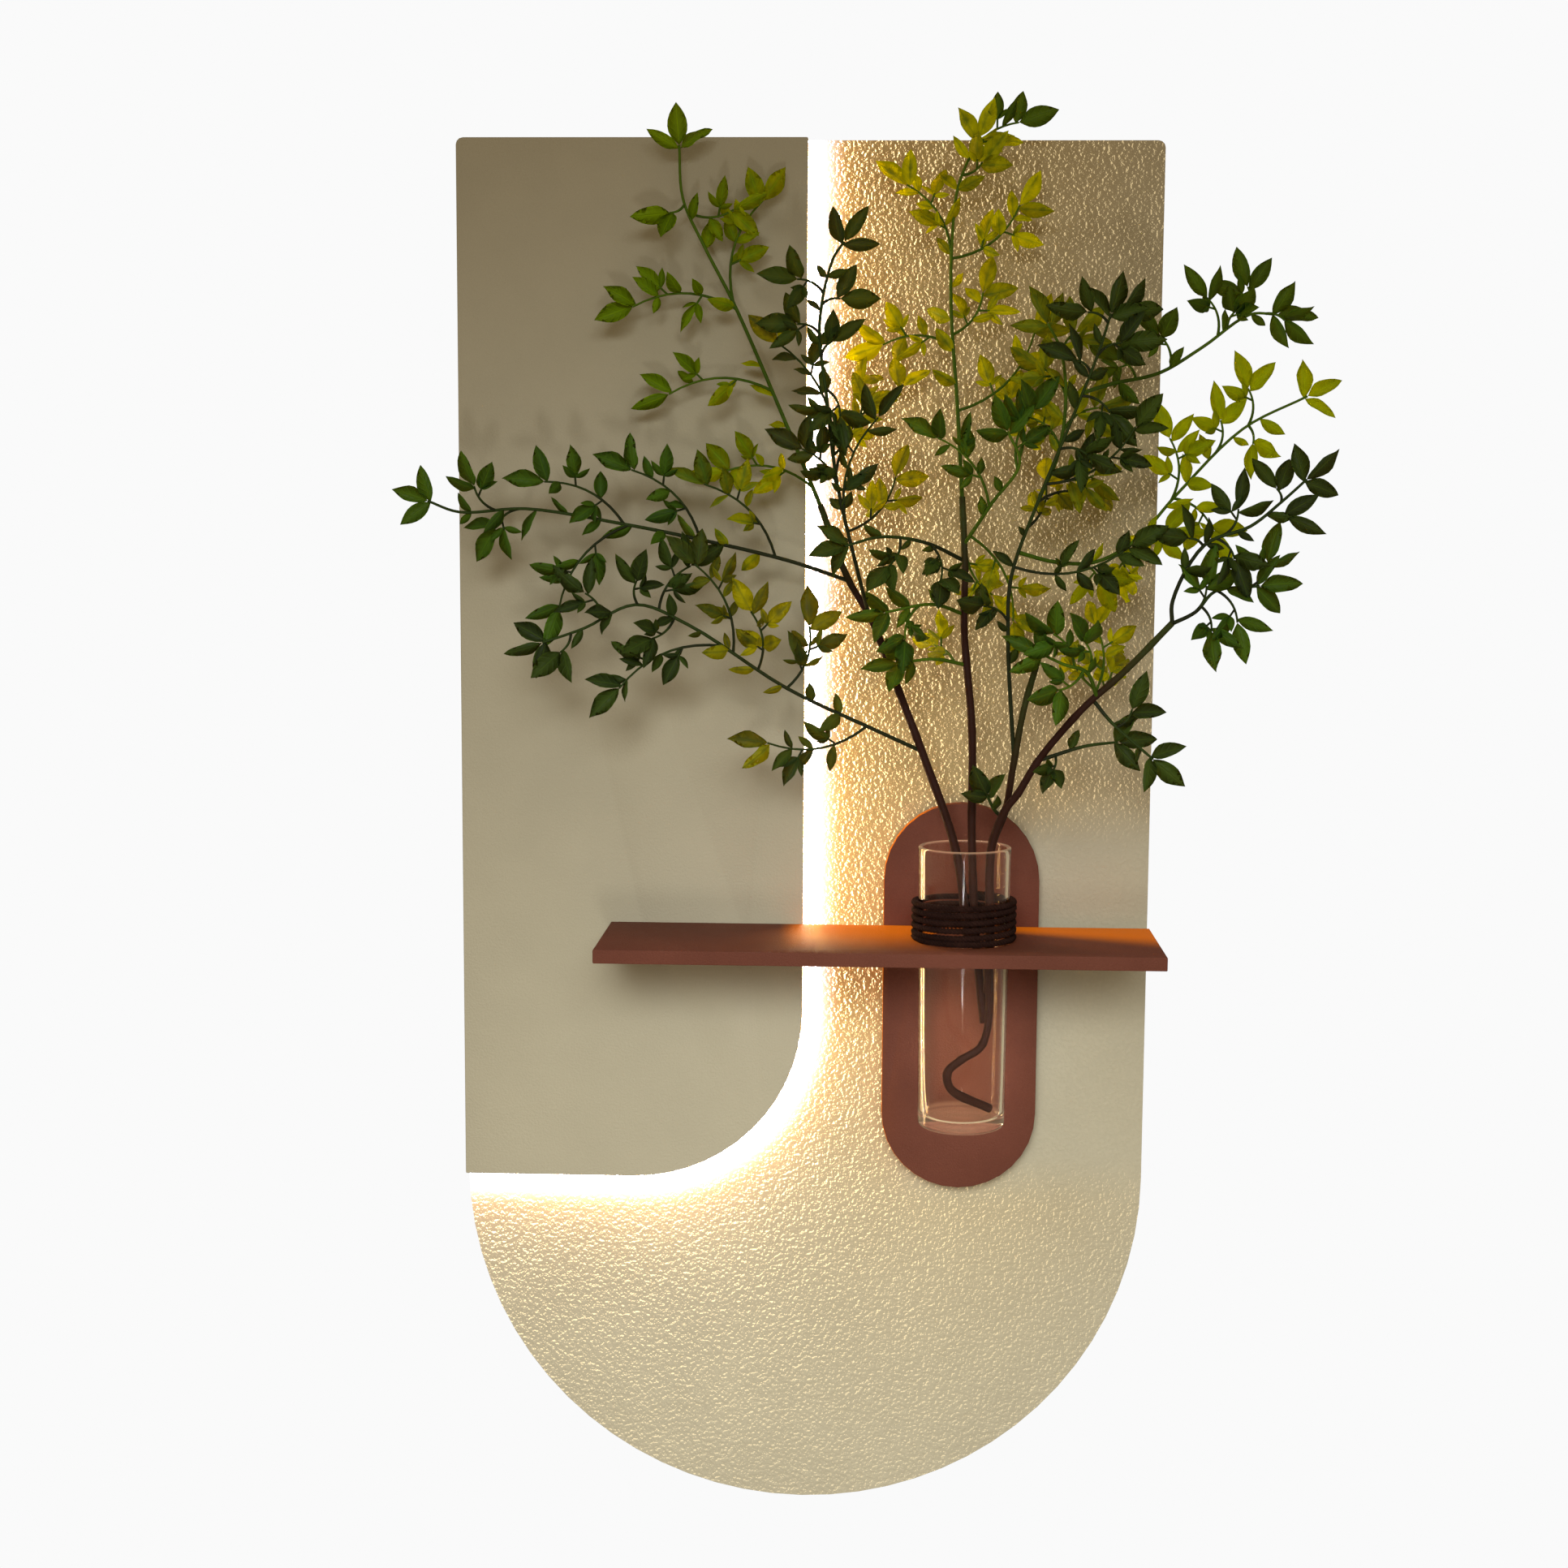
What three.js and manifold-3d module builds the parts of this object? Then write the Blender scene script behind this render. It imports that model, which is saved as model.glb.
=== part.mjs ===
import * as THREE from "three";
import { mergeVertices } from "three/addons/utils/BufferGeometryUtils.js";
import Module from "manifold-3d";

// A wall vase: a round-bottomed board with a raised panel, a pill-shaped plate and a shelf,
// warm light behind the panel, and a glass tube of leafy branches that hangs in the shelf.
// Millimetres. +X is right, +Z up, and the wall is the plane Y = 0 with the room at -Y.
// The origin is the middle of the top rail's back face, where the vase bears on the wall.

const wasm = await Module();
wasm.setup();

// Boards
const stock = 7.5;
const boardWidth = 400;
const boardHeight = 800;
const boardCorner = 4;
const panelShy = 1; // of the board's middle
const panelCorner = 100;
const lightGap = 5;
const lightSetback = 10;
const pillWidth = 90;
const pillHeight = 228;
const pillSide = 91;
const pillRise = 310.5;
const shelfDepth = 90;
const shelfRise = 345.1;
const shelfLeft = -113;
const boardArcSteps = 36;
const panelArcSteps = 14;
const smallArcSteps = 3;
const pillArcSteps = 16;

// Wall side
const wallGap = 18;
const railHeight = 36;
const hangHeight = 90; // of the board's top above the top rail's middle
const topRailLength = 300;
const lowerRailLength = 200;
const lowerRailRise = 120;
const padThickness = 2;
const padRadius = 8;
const padSide = 80;
const hangerInset = 50; // of a hanger's middle from the rail's end
const hangerLength = 46;
const hangerHeight = 12;
const hangerSteel = 1;
const hangerStandoff = 1.6;
const hangerTab = 10;
const hangerSunk = 0.3;
const toothPitch = 3;
const toothDepth = 1.5;

// Light and its wiring
const tapeThickness = 0.4;
const chipLength = 3.4;
const chipHeight = 1.2;
const chipWidth = 2.8;
const chipSunk = 0.25;
const chipPitch = 33.3;
const tapeStart = 6;
const tapeStop = 24;
const leadDiameter = 2.4;
const leadHole = 8;
const clipWall = 1.2;
const clipLength = 6;
const clipFoot = 4;
const clipAir = 0.4;
const blockSize = new THREE.Vector3(22, 14, 16);
const blockSide = 60;
const blockRise = 70;
const jackRadius = 4;
const jackFlange = 5.6;
const jackFlangeThickness = 1.8;
const jackLength = 19;
const jackBore = 2.75;
const jackBoreDepth = 9;
const jackPin = 1;
const nutAcross = 11;
const nutThickness = 2.5;

// Screws
const screwHead = 3.6;
const screwShank = 1.7;
const screwSteps = 8;
const shelfScrewBite = 24;
const railScrewBite = 4.5;
const smallScrewHead = 2.6;
const smallScrewShank = 1.2;
const smallScrewLength = 10;
const blockScrewLength = 11;
const blockScrewBite = 5;
const shelfScrewSides = [-92, -34, 64, 118];
const railScrewInset = 22;

// Glass tube and its rope collar
const glassHeight = 160;
const glassRimRadius = 26;
const glassFootRadius = 24.5;
const glassWall = 2.4;
const glassFloor = 6;
const glassAboveShelf = 53.4;
const glassSteps = 32;
const holeClearance = 0.75;
const ropeDiameter = 3.7;
const ropePitch = 4.2;
const ropeTurns = 4.75;
const ropeStepsPerTurn = 24;
const ropeSides = 6;

// Plants
const stemRadius = 2.1;
const stemTaper = 0.75;
const twigRadius = 1.3;
const stalkRadius = 0.9;
const leafLength = 23;
const leafWidth = 11.5;
const leafThickness = 1;
const leafBelly = 0.45;
const clusterLeafShare = 0.82;
const stalkBow = 0.14;
const longStalk = 28;
const shortStalk = 13;
const plantUnit = 1; // length of one unit of the plants' places
const plantDepth = 154; // below the mouth, to the tube's floor, that the stems' places are given for

const seat = 0.3; // air between pieces that rest on, or are cut by, each other

// Planes that several pieces share
const boardBottom = hangHeight - boardHeight;
const panelWidth = boardWidth / 2 - panelShy;
const panelHeight = boardHeight - boardWidth / 2; // down to where the board turns round
const hangerSide = topRailLength / 2 - hangerInset;
const boardBack = -wallGap;
const boardFront = boardBack - stock;
const panelBack = boardFront - lightGap;
const panelFront = panelBack - stock;
const shelfTop = boardBottom + shelfRise + stock;
const panelLeft = -boardWidth / 2;
const panelTop = boardBottom + boardHeight;
const panelBottom = panelTop - panelHeight;
const glassSide = pillSide;
const glassY = panelFront - shelfDepth / 2;
const glassBottom = shelfTop + glassAboveShelf - glassHeight;
const mouth = new THREE.Vector3(glassSide, glassY, glassBottom + glassHeight);

const finish = (color, roughness, metalness = 0, extra = {}) =>
  new THREE.MeshStandardMaterial({ color, roughness, metalness, ...extra });
const finishes = {
  sandPaint: finish(0xb4a68c, 0.55),
  brownPaint: finish(0x6b3f2f, 0.6),
  rawBoard: finish(0xb08d62, 0.85),
  pine: finish(0xc9a873, 0.8),
  steel: finish(0xb9bcc0, 0.35, 1),
  tape: finish(0xffd489, 0.5, 0, { emissive: 0xffb347, emissiveIntensity: 1 }),
  blackPlastic: finish(0x202022, 0.5),
  rubber: finish(0x2a2a2a, 0.9),
  glass: finish(0xf4f4ee, 0.05, 0, { transparent: true, opacity: 0.3 }),
  rope: finish(0x2b1a14, 0.95),
  bark: finish(0x4a2a1e, 0.85),
  leaf: finish(0x3c6b1c, 0.6),
};

const part = new THREE.Group();

function add(name, geometry, material, x = 0, y = 0, z = 0) {
  const mesh = new THREE.Mesh(geometry, finishes[material]);
  mesh.name = name;
  mesh.position.set(x, y, z);
  part.add(mesh);
  return mesh;
}

// Solids: a closed geometry becomes a manifold, and comes back once joined or cut.

function solid(geometry) {
  const bare = geometry.clone();
  bare.deleteAttribute("normal");
  bare.deleteAttribute("uv");
  const merged = mergeVertices(bare, 1e-4);
  const vertProperties = merged.attributes.position.array;
  const triVerts = new Uint32Array(merged.index.array);
  return new wasm.Manifold(new wasm.Mesh({ numProp: 3, vertProperties, triVerts }));
}

function geometryOf(manifold) {
  const { vertProperties, triVerts } = manifold.getMesh();
  return new THREE.BufferGeometry()
    .setAttribute("position", new THREE.BufferAttribute(vertProperties, 3))
    .setIndex(new THREE.BufferAttribute(triVerts, 1));
}

function cut(geometry, tools) {
  return geometryOf(tools.reduce((rest, tool) => rest.subtract(solid(tool)), solid(geometry)));
}

function fuse(geometries) {
  return geometryOf(geometries.map(solid).reduce((whole, piece) => whole.add(piece)));
}

// A flat plate: an outline in X and Z, its back at y = 0 and its front at y = -thickness.
function plate(outline, thickness) {
  const options = { depth: thickness, bevelEnabled: false };
  return new THREE.ExtrudeGeometry(new THREE.Shape(outline), options).rotateX(Math.PI / 2);
}

function block(width, depth, height) {
  return new THREE.BoxGeometry(width, depth, height);
}

// A round piece on the Y axis, from points [radius, y] that start and end on the axis.
function turnedOnY(points, steps) {
  return new THREE.LatheGeometry(points.map(([r, y]) => new THREE.Vector2(r, y)), steps);
}

function turnedOnZ(points, steps) {
  return turnedOnY(points, steps).rotateX(Math.PI / 2);
}

// A tube through the points, capped at both ends. radiusAt gives its radius from 0 to 1 along it.
function tube(points, radiusAt, sides) {
  const vertices = [];
  const faces = [];
  const last = points.length - 1;
  const across = new THREE.Vector3(0.31, -0.9, 0.3);
  points.forEach((point, i) => {
    const along = points[Math.min(i + 1, last)].clone().sub(points[Math.max(i - 1, 0)]).normalize();
    across.addScaledVector(along, -across.dot(along)).normalize();
    const other = new THREE.Vector3().crossVectors(along, across);
    for (let k = 0; k < sides; k++) {
      const angle = (2 * Math.PI * k) / sides;
      const out = across.clone().multiplyScalar(Math.cos(angle)).addScaledVector(other, Math.sin(angle));
      vertices.push(point.clone().addScaledVector(out, radiusAt(i / last)));
    }
  });
  for (let i = 0; i < last; i++) {
    for (let k = 0; k < sides; k++) {
      const [a, b] = [i * sides + k, i * sides + ((k + 1) % sides)];
      faces.push(a, b, b + sides, a, b + sides, a + sides);
    }
  }
  const end = last * sides;
  for (let k = 1; k < sides - 1; k++) {
    faces.push(0, k + 1, k, end, end + k, end + k + 1);
  }
  return new THREE.BufferGeometry().setFromPoints(vertices).setIndex(faces);
}

const splinePoints = (points, steps) =>
  new THREE.CatmullRomCurve3(points, false, "centripetal").getPoints(steps);

// Outlines, as points in X and Z

const corner = (x, z) => [new THREE.Vector2(x, z)];

function arc(x, z, radius, from, to, steps) {
  return Array.from({ length: steps + 1 }, (_, i) => {
    const angle = ((from + ((to - from) * i) / steps) * Math.PI) / 180;
    return new THREE.Vector2(x + radius * Math.cos(angle), z + radius * Math.sin(angle));
  });
}

function boardOutline() {
  const r = boardWidth / 2;
  const c = boardCorner;
  return [
    ...arc(r - c, boardHeight - c, c, 0, 90, smallArcSteps),
    ...arc(c - r, boardHeight - c, c, 90, 180, smallArcSteps),
    ...arc(0, r, r, 180, 360, boardArcSteps),
  ];
}

// The panel's outline, drawn in by an inset on its free right and lower edges.
function panelOutline(inset) {
  const right = panelWidth - inset;
  const radius = panelCorner - inset;
  return [
    ...corner(0, inset),
    ...arc(right - radius, inset + radius, radius, -90, 0, panelArcSteps),
    ...corner(right, panelHeight),
    ...arc(boardCorner, panelHeight - boardCorner, boardCorner, 90, 180, smallArcSteps),
  ];
}

function pillOutline(inset) {
  const r = pillWidth / 2 - inset;
  const straight = (pillHeight - pillWidth) / 2;
  return [...arc(0, straight, r, 0, 180, pillArcSteps), ...arc(0, -straight, r, 180, 360, pillArcSteps)];
}

// Screws, driven from the wall side: head flush at y = 0, point toward the room.

const screwProfile = (head, shank, length, air) => [
  [0, -length - air],
  [shank + air, -length + 2 * shank - air],
  [shank + air, -(head - shank) - air],
  [head + air, -air],
  [head + air, 0],
  [0, 0],
];
const screw = (head, shank, length) => turnedOnY(screwProfile(head, shank, length, 0.02), screwSteps);
const screwHole = (head, shank, length) => {
  const profile = screwProfile(head, shank, length, seat + 0.02);
  profile.splice(4, 2, [head + seat, 1], [0, 1]);
  return turnedOnY(profile, screwSteps);
};

const shelfScrewLength = boardBack - panelFront + shelfScrewBite;
const railScrewLength = wallGap + railScrewBite;
const shelfScrewZ = shelfTop - stock / 2;
const shelfScrewPlaces = shelfScrewSides.map((x) => new THREE.Vector3(x, boardBack, shelfScrewZ));
const railScrewPlaces = [
  new THREE.Vector3(-topRailLength / 2 + railScrewInset, 0, 0),
  new THREE.Vector3(topRailLength / 2 - railScrewInset, 0, 0),
  new THREE.Vector3(-lowerRailLength / 2 + railScrewInset / 2, -padThickness, boardBottom + lowerRailRise),
  new THREE.Vector3(lowerRailLength / 2 - railScrewInset / 2, -padThickness, boardBottom + lowerRailRise),
];

const blockScrewSide = blockSize.x / 2 - smallScrewHead - 0.6;
const blockScrewPlaces = [-1, 1].map((side) => new THREE.Vector3(
  blockSide + side * blockScrewSide,
  boardBack + blockScrewLength - blockScrewBite,
  boardBottom + blockRise,
));

function at(geometry, place) {
  return geometry.translate(place.x, place.y, place.z);
}

const shelfScrewHoles = () =>
  shelfScrewPlaces.map((place) => at(screwHole(screwHead, screwShank, shelfScrewLength), place));
const blockScrewHoles = () =>
  blockScrewPlaces.map((place) => at(screwHole(smallScrewHead, smallScrewShank, blockScrewLength), place));
const railScrewHoles = () =>
  railScrewPlaces.map((place) => {
    const length = place.y - boardBack + railScrewBite;
    return at(screwHole(screwHead, screwShank, length), place);
  });

// Boards

const leadHolePlace = new THREE.Vector3(
  panelLeft + tapeStop / 2,
  boardBack - stock / 2,
  panelBottom + lightSetback / 2,
);

function throughHole(place, radius, length) {
  return at(new THREE.CylinderGeometry(radius, radius, length, 12), place);
}

function addBoards() {
  const board = plate(boardOutline(), stock).translate(0, boardBack, boardBottom);
  const leadPassage = throughHole(leadHolePlace, leadHole / 2, stock + 2);
  const holes = [...shelfScrewHoles(), ...railScrewHoles(), ...blockScrewHoles(), leadPassage];
  add("base_board", cut(board, holes), "sandPaint");

  const spacer = plate(panelOutline(lightSetback), lightGap).translate(panelLeft, boardFront, panelBottom);
  add("panel_spacer", cut(spacer, shelfScrewHoles()), "rawBoard");

  const panel = plate(panelOutline(0), stock).translate(panelLeft, panelBack, panelBottom);
  add("front_panel", cut(panel, shelfScrewHoles()), "sandPaint");

  const pillZ = boardBottom + pillRise;
  const pillSpacer = plate(pillOutline(lightSetback), lightGap).translate(pillSide, boardFront, pillZ);
  add("pill_spacer", cut(pillSpacer, shelfScrewHoles()), "rawBoard");

  const pill = plate(pillOutline(0), stock).translate(pillSide, panelBack, pillZ);
  add("pill_plate", cut(pill, shelfScrewHoles()), "brownPaint");

  const shelfWidth = boardWidth / 2 - shelfLeft;
  const shelf = block(shelfWidth, shelfDepth, stock).translate(
    shelfLeft + shelfWidth / 2,
    panelFront - shelfDepth / 2,
    shelfTop - stock / 2,
  );
  const holeRadius = glassRimRadius + holeClearance;
  const hole = new THREE.CylinderGeometry(holeRadius, holeRadius, stock + 2, glassSteps)
    .rotateX(Math.PI / 2)
    .translate(glassSide, glassY, shelfTop - stock / 2);
  add("shelf", cut(shelf, [hole, ...shelfScrewHoles()]), "brownPaint");

  shelfScrewPlaces.forEach((place, i) => {
    const geometry = screw(screwHead, screwShank, shelfScrewLength);
    add(`shelf_screw_${i + 1}`, geometry, "steel", place.x, place.y - 0.02, place.z);
  });
}

// Wall side: two pine rails, sawtooth hangers let into the top one, pads on the lower one.

const hangerRecess = seat + hangerSteel + hangerStandoff + hangerSunk;
const hangerScrewSide = (hangerLength - hangerTab) / 2;

// A strap with a raised middle whose lower edge is cut in teeth for a nail or hook.
function hanger() {
  const half = hangerLength / 2;
  const rise = hangerStandoff;
  const strap = new THREE.Shape([
    new THREE.Vector2(-half, 0),
    new THREE.Vector2(-half + hangerTab, 0),
    new THREE.Vector2(-half + hangerTab + rise, rise),
    new THREE.Vector2(half - hangerTab - rise, rise),
    new THREE.Vector2(half - hangerTab, 0),
    new THREE.Vector2(half, 0),
    new THREE.Vector2(half, hangerSteel),
    new THREE.Vector2(half - hangerTab, hangerSteel),
    new THREE.Vector2(half - hangerTab - rise, rise + hangerSteel),
    new THREE.Vector2(-half + hangerTab + rise, rise + hangerSteel),
    new THREE.Vector2(-half + hangerTab, hangerSteel),
    new THREE.Vector2(-half, hangerSteel),
  ]);
  const options = { depth: hangerHeight, bevelEnabled: false };
  const body = new THREE.ExtrudeGeometry(strap, options).translate(0, 0, -hangerHeight / 2);
  const toothRun = hangerLength - 2 * hangerTab - 4 * rise;
  const teeth = Math.floor(toothRun / toothPitch);
  const notches = Array.from({ length: teeth }, (_, i) => {
    const x = (i - (teeth - 1) / 2) * toothPitch;
    return new THREE.CylinderGeometry(toothDepth, toothDepth, 4 * rise + 4, 4)
      .translate(x, rise, -hangerHeight / 2);
  });
  const tabHoles = [-1, 1].map((side) =>
    at(screwHole(smallScrewHead, smallScrewShank, smallScrewLength),
      new THREE.Vector3(side * hangerScrewSide, hangerSteel, 0)),
  );
  return cut(body, [...notches, ...tabHoles]);
}

function addWallSide() {
  const hangerY = seat - hangerRecess;
  const recessTop = hangerHeight / 2 + seat;
  const recessHeight = recessTop + railHeight / 2 + 1;
  const recesses = [-hangerSide, hangerSide].map((x) =>
    block(hangerLength + 2 * seat, hangerRecess + 1, recessHeight).translate(
      x,
      (1 - hangerRecess) / 2,
      recessTop - recessHeight / 2,
    ),
  );
  const hangerScrewPlaces = [-hangerSide, hangerSide].flatMap((x) =>
    [-1, 1].map((side) => new THREE.Vector3(x + side * hangerScrewSide, hangerY + hangerSteel, 0)),
  );
  const smallHoles = hangerScrewPlaces.map((place) =>
    at(screwHole(smallScrewHead, smallScrewShank, smallScrewLength), place),
  );
  const topRail = block(topRailLength, wallGap, railHeight).translate(0, -wallGap / 2, 0);
  add("top_rail", cut(topRail, [...recesses, ...smallHoles, ...railScrewHoles()]), "pine");

  const lowerDepth = wallGap - padThickness;
  const lowerRail = block(lowerRailLength, lowerDepth, railHeight).translate(
    0,
    -padThickness - lowerDepth / 2,
    boardBottom + lowerRailRise,
  );
  add("lower_rail", cut(lowerRail, railScrewHoles()), "pine");

  add("hanger_left", hanger(), "steel", -hangerSide, hangerY, 0);
  add("hanger_right", hanger(), "steel", hangerSide, hangerY, 0);
  hangerScrewPlaces.forEach((place, i) => {
    const geometry = screw(smallScrewHead, smallScrewShank, smallScrewLength);
    add(`hanger_screw_${i + 1}`, geometry, "steel", place.x, place.y - 0.02, place.z);
  });
  railScrewPlaces.forEach((place, i) => {
    const geometry = screw(screwHead, screwShank, place.y - boardBack + railScrewBite);
    add(`rail_screw_${i + 1}`, geometry, "steel", place.x, place.y - 0.02, place.z);
  });
  const pad = () => new THREE.CylinderGeometry(padRadius, padRadius, padThickness, 16);
  const padZ = boardBottom + lowerRailRise;
  add("wall_pad_left", pad(), "rubber", -padSide / 2, -padThickness / 2, padZ);
  add("wall_pad_right", pad(), "rubber", padSide / 2, -padThickness / 2, padZ);
}

// Light: a tape on edge round the panel spacer, facing the gap, and its lead from a socket below.

// Points of the spacer's free edge, from its top to its lower left, moved out by a distance.
function lightPath(out) {
  const right = panelLeft + panelWidth - lightSetback;
  const low = panelBottom + lightSetback;
  const radius = panelCorner - lightSetback;
  const path = new THREE.CurvePath();
  const v = (x, z) => new THREE.Vector2(x, z);
  path.add(new THREE.LineCurve(v(right + out, panelTop - tapeStart), v(right + out, low + radius)));
  const turn = radius + out;
  path.add(new THREE.EllipseCurve(right - radius, low + radius, turn, turn, 0, -Math.PI / 2, true));
  path.add(new THREE.LineCurve(v(right - radius, low - out), v(panelLeft + tapeStop, low - out)));
  return path;
}

function ledTape() {
  const width = lightGap - 2 * seat;
  const edge = (out) => {
    const [down, bend, back] = lightPath(out).curves;
    return [down.v1, ...bend.getPoints(panelArcSteps), back.v2];
  };
  const ribbon = [...edge(seat), ...edge(seat + tapeThickness).reverse()];
  const y = boardFront - seat;
  const pieces = [plate(ribbon, width).translate(0, y, 0)];
  const centreLine = lightPath(seat + tapeThickness + chipHeight / 2 - chipSunk);
  const length = centreLine.getLength();
  const chips = Math.floor(length / chipPitch);
  for (let i = 0; i < chips; i++) {
    const u = (i + 0.5) / chips;
    const place = centreLine.getPointAt(u);
    const along = centreLine.getTangentAt(u);
    const chip = block(chipLength, chipWidth, chipHeight).rotateY(-Math.atan2(along.y, along.x));
    pieces.push(chip.translate(place.x, y - width / 2, place.y));
  }
  return fuse(pieces);
}

const leadY = boardBack + seat + leadDiameter / 2;
const blockTop = boardBottom + blockRise + blockSize.z / 2;

// The lead's way up the back of the board, through it and to the end of the tape.
const jackY = boardBack + blockSize.y / 2;
const gapMiddle = boardFront - lightGap / 2;
const tapeEnd = new THREE.Vector3(
  panelLeft + tapeStop - seat,
  gapMiddle,
  panelBottom + lightSetback - seat - leadDiameter / 2,
);
const leadRoute = [
  new THREE.Vector3(blockSide, jackY, blockTop + 3.1),
  new THREE.Vector3(blockSide, jackY, blockTop + 9),
  new THREE.Vector3(blockSide + 50, leadY, blockTop + 22),
  new THREE.Vector3(blockSide + 66, leadY, blockTop + 56),
  new THREE.Vector3(blockSide + 30, leadY, blockTop + 96),
  new THREE.Vector3(-40, leadY, blockTop + 110),
  new THREE.Vector3(leadHolePlace.x + 26, leadY, leadHolePlace.z - 2),
  new THREE.Vector3(leadHolePlace.x + 6, leadY + 0.6, leadHolePlace.z),
  new THREE.Vector3(leadHolePlace.x + 1, boardBack - 1.5, leadHolePlace.z),
  new THREE.Vector3(leadHolePlace.x + 1, boardFront + 0.5, leadHolePlace.z + 0.5),
  new THREE.Vector3((leadHolePlace.x + tapeEnd.x) / 2 - 2, gapMiddle, (leadHolePlace.z + tapeEnd.z) / 2),
  tapeEnd,
];

// A clip over the lead, at a stop of its route.
function addClip(name, stop) {
  const share = stop / (leadRoute.length - 1);
  const route = new THREE.CatmullRomCurve3(leadRoute, false, "centripetal");
  const place = route.getPoint(share);
  const along = route.getTangent(share);
  const inner = leadDiameter / 2 + clipAir;
  const outer = inner + clipWall;
  const axis = seat + leadDiameter / 2;
  const profile = new THREE.Shape();
  profile.moveTo(-outer - clipFoot, 0);
  profile.lineTo(-inner, 0);
  profile.lineTo(-inner, axis);
  profile.absarc(0, axis, inner, Math.PI, 0, true);
  profile.lineTo(inner, 0);
  profile.lineTo(outer + clipFoot, 0);
  profile.lineTo(outer + clipFoot, clipWall);
  profile.lineTo(outer, clipWall);
  profile.lineTo(outer, axis);
  profile.absarc(0, axis, outer, 0, Math.PI);
  profile.lineTo(-outer, clipWall);
  profile.lineTo(-outer - clipFoot, clipWall);
  const options = { depth: clipLength, bevelEnabled: false, curveSegments: 5 };
  const clip = new THREE.ExtrudeGeometry(profile, options).translate(0, 0, -clipLength / 2);
  const mesh = add(name, clip, "blackPlastic", place.x, boardBack, place.z);
  mesh.rotation.y = Math.atan2(along.x, along.z);
}

function addInlet() {
  const blockZ = boardBottom + blockRise;
  const passage = new THREE.CylinderGeometry(jackRadius + seat, jackRadius + seat, blockSize.z + 2, 16)
    .rotateX(Math.PI / 2)
    .translate(blockSide, jackY, blockZ);
  const wells = blockScrewPlaces.map((place) =>
    at(new THREE.CylinderGeometry(smallScrewHead + seat, smallScrewHead + seat, blockSize.y, screwSteps),
      place.clone().setY(place.y + blockSize.y / 2 + 0.5)),
  );
  const body = block(blockSize.x, blockSize.y, blockSize.z).translate(blockSide, jackY, blockZ);
  add("inlet_block", cut(body, [passage, ...blockScrewHoles(), ...wells]), "blackPlastic");
  blockScrewPlaces.forEach((place, i) => {
    const geometry = screw(smallScrewHead, smallScrewShank, blockScrewLength);
    add(`block_screw_${i + 1}`, geometry, "steel", place.x, place.y - 0.02, place.z);
  });
  const low = blockZ - blockSize.z / 2 - seat;
  const jack = turnedOnZ([
    [0, jackBoreDepth],
    [0, 1],
    [jackPin, 1],
    [jackPin, jackBoreDepth],
    [jackBore, jackBoreDepth],
    [jackBore, -jackFlangeThickness],
    [jackFlange, -jackFlangeThickness],
    [jackFlange, 0],
    [jackRadius, 0],
    [jackRadius, jackLength],
    [0, jackLength],
  ], 16);
  add("dc_jack", jack, "blackPlastic", blockSide, jackY, low);
  const nut = cut(
    new THREE.CylinderGeometry(nutAcross / Math.sqrt(3), nutAcross / Math.sqrt(3), nutThickness, 6),
    [new THREE.CylinderGeometry(jackRadius + seat, jackRadius + seat, nutThickness + 2, 16)],
  ).rotateX(Math.PI / 2);
  add("jack_nut", nut, "steel", blockSide, jackY, blockZ + blockSize.z / 2 + nutThickness / 2 + seat);
}

function addLight() {
  add("led_tape", ledTape(), "tape");
  const lead = tube(splinePoints(leadRoute, 56), () => leadDiameter / 2, 6);
  add("led_lead", lead, "blackPlastic");
  addClip("lead_clip_1", 2.9);
  addClip("lead_clip_2", 4.5);
  addClip("lead_clip_3", 5.6);
  addInlet();
}

// Vase: a glass tube with a slight taper, and a rope wound round it that rests on the shelf.

function glassRadiusAt(height) {
  return glassFootRadius + ((glassRimRadius - glassFootRadius) * height) / glassHeight;
}

function glassTube() {
  const lip = glassWall / 3;
  const inner = (height) => glassRadiusAt(height) - glassWall;
  return turnedOnZ([
    [0, 0],
    [glassFootRadius - 2, 0],
    [glassFootRadius - 0.5, 0.7],
    [glassRadiusAt(2.5), 2.5],
    [glassRadiusAt(glassHeight - lip), glassHeight - lip],
    [glassRimRadius - lip, glassHeight],
    [glassRimRadius - glassWall + lip, glassHeight],
    [inner(glassHeight - lip), glassHeight - lip],
    [inner(glassFloor + 2), glassFloor + 2],
    [inner(glassFloor) - 2, glassFloor],
    [0, glassFloor],
  ], glassSteps);
}

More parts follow.
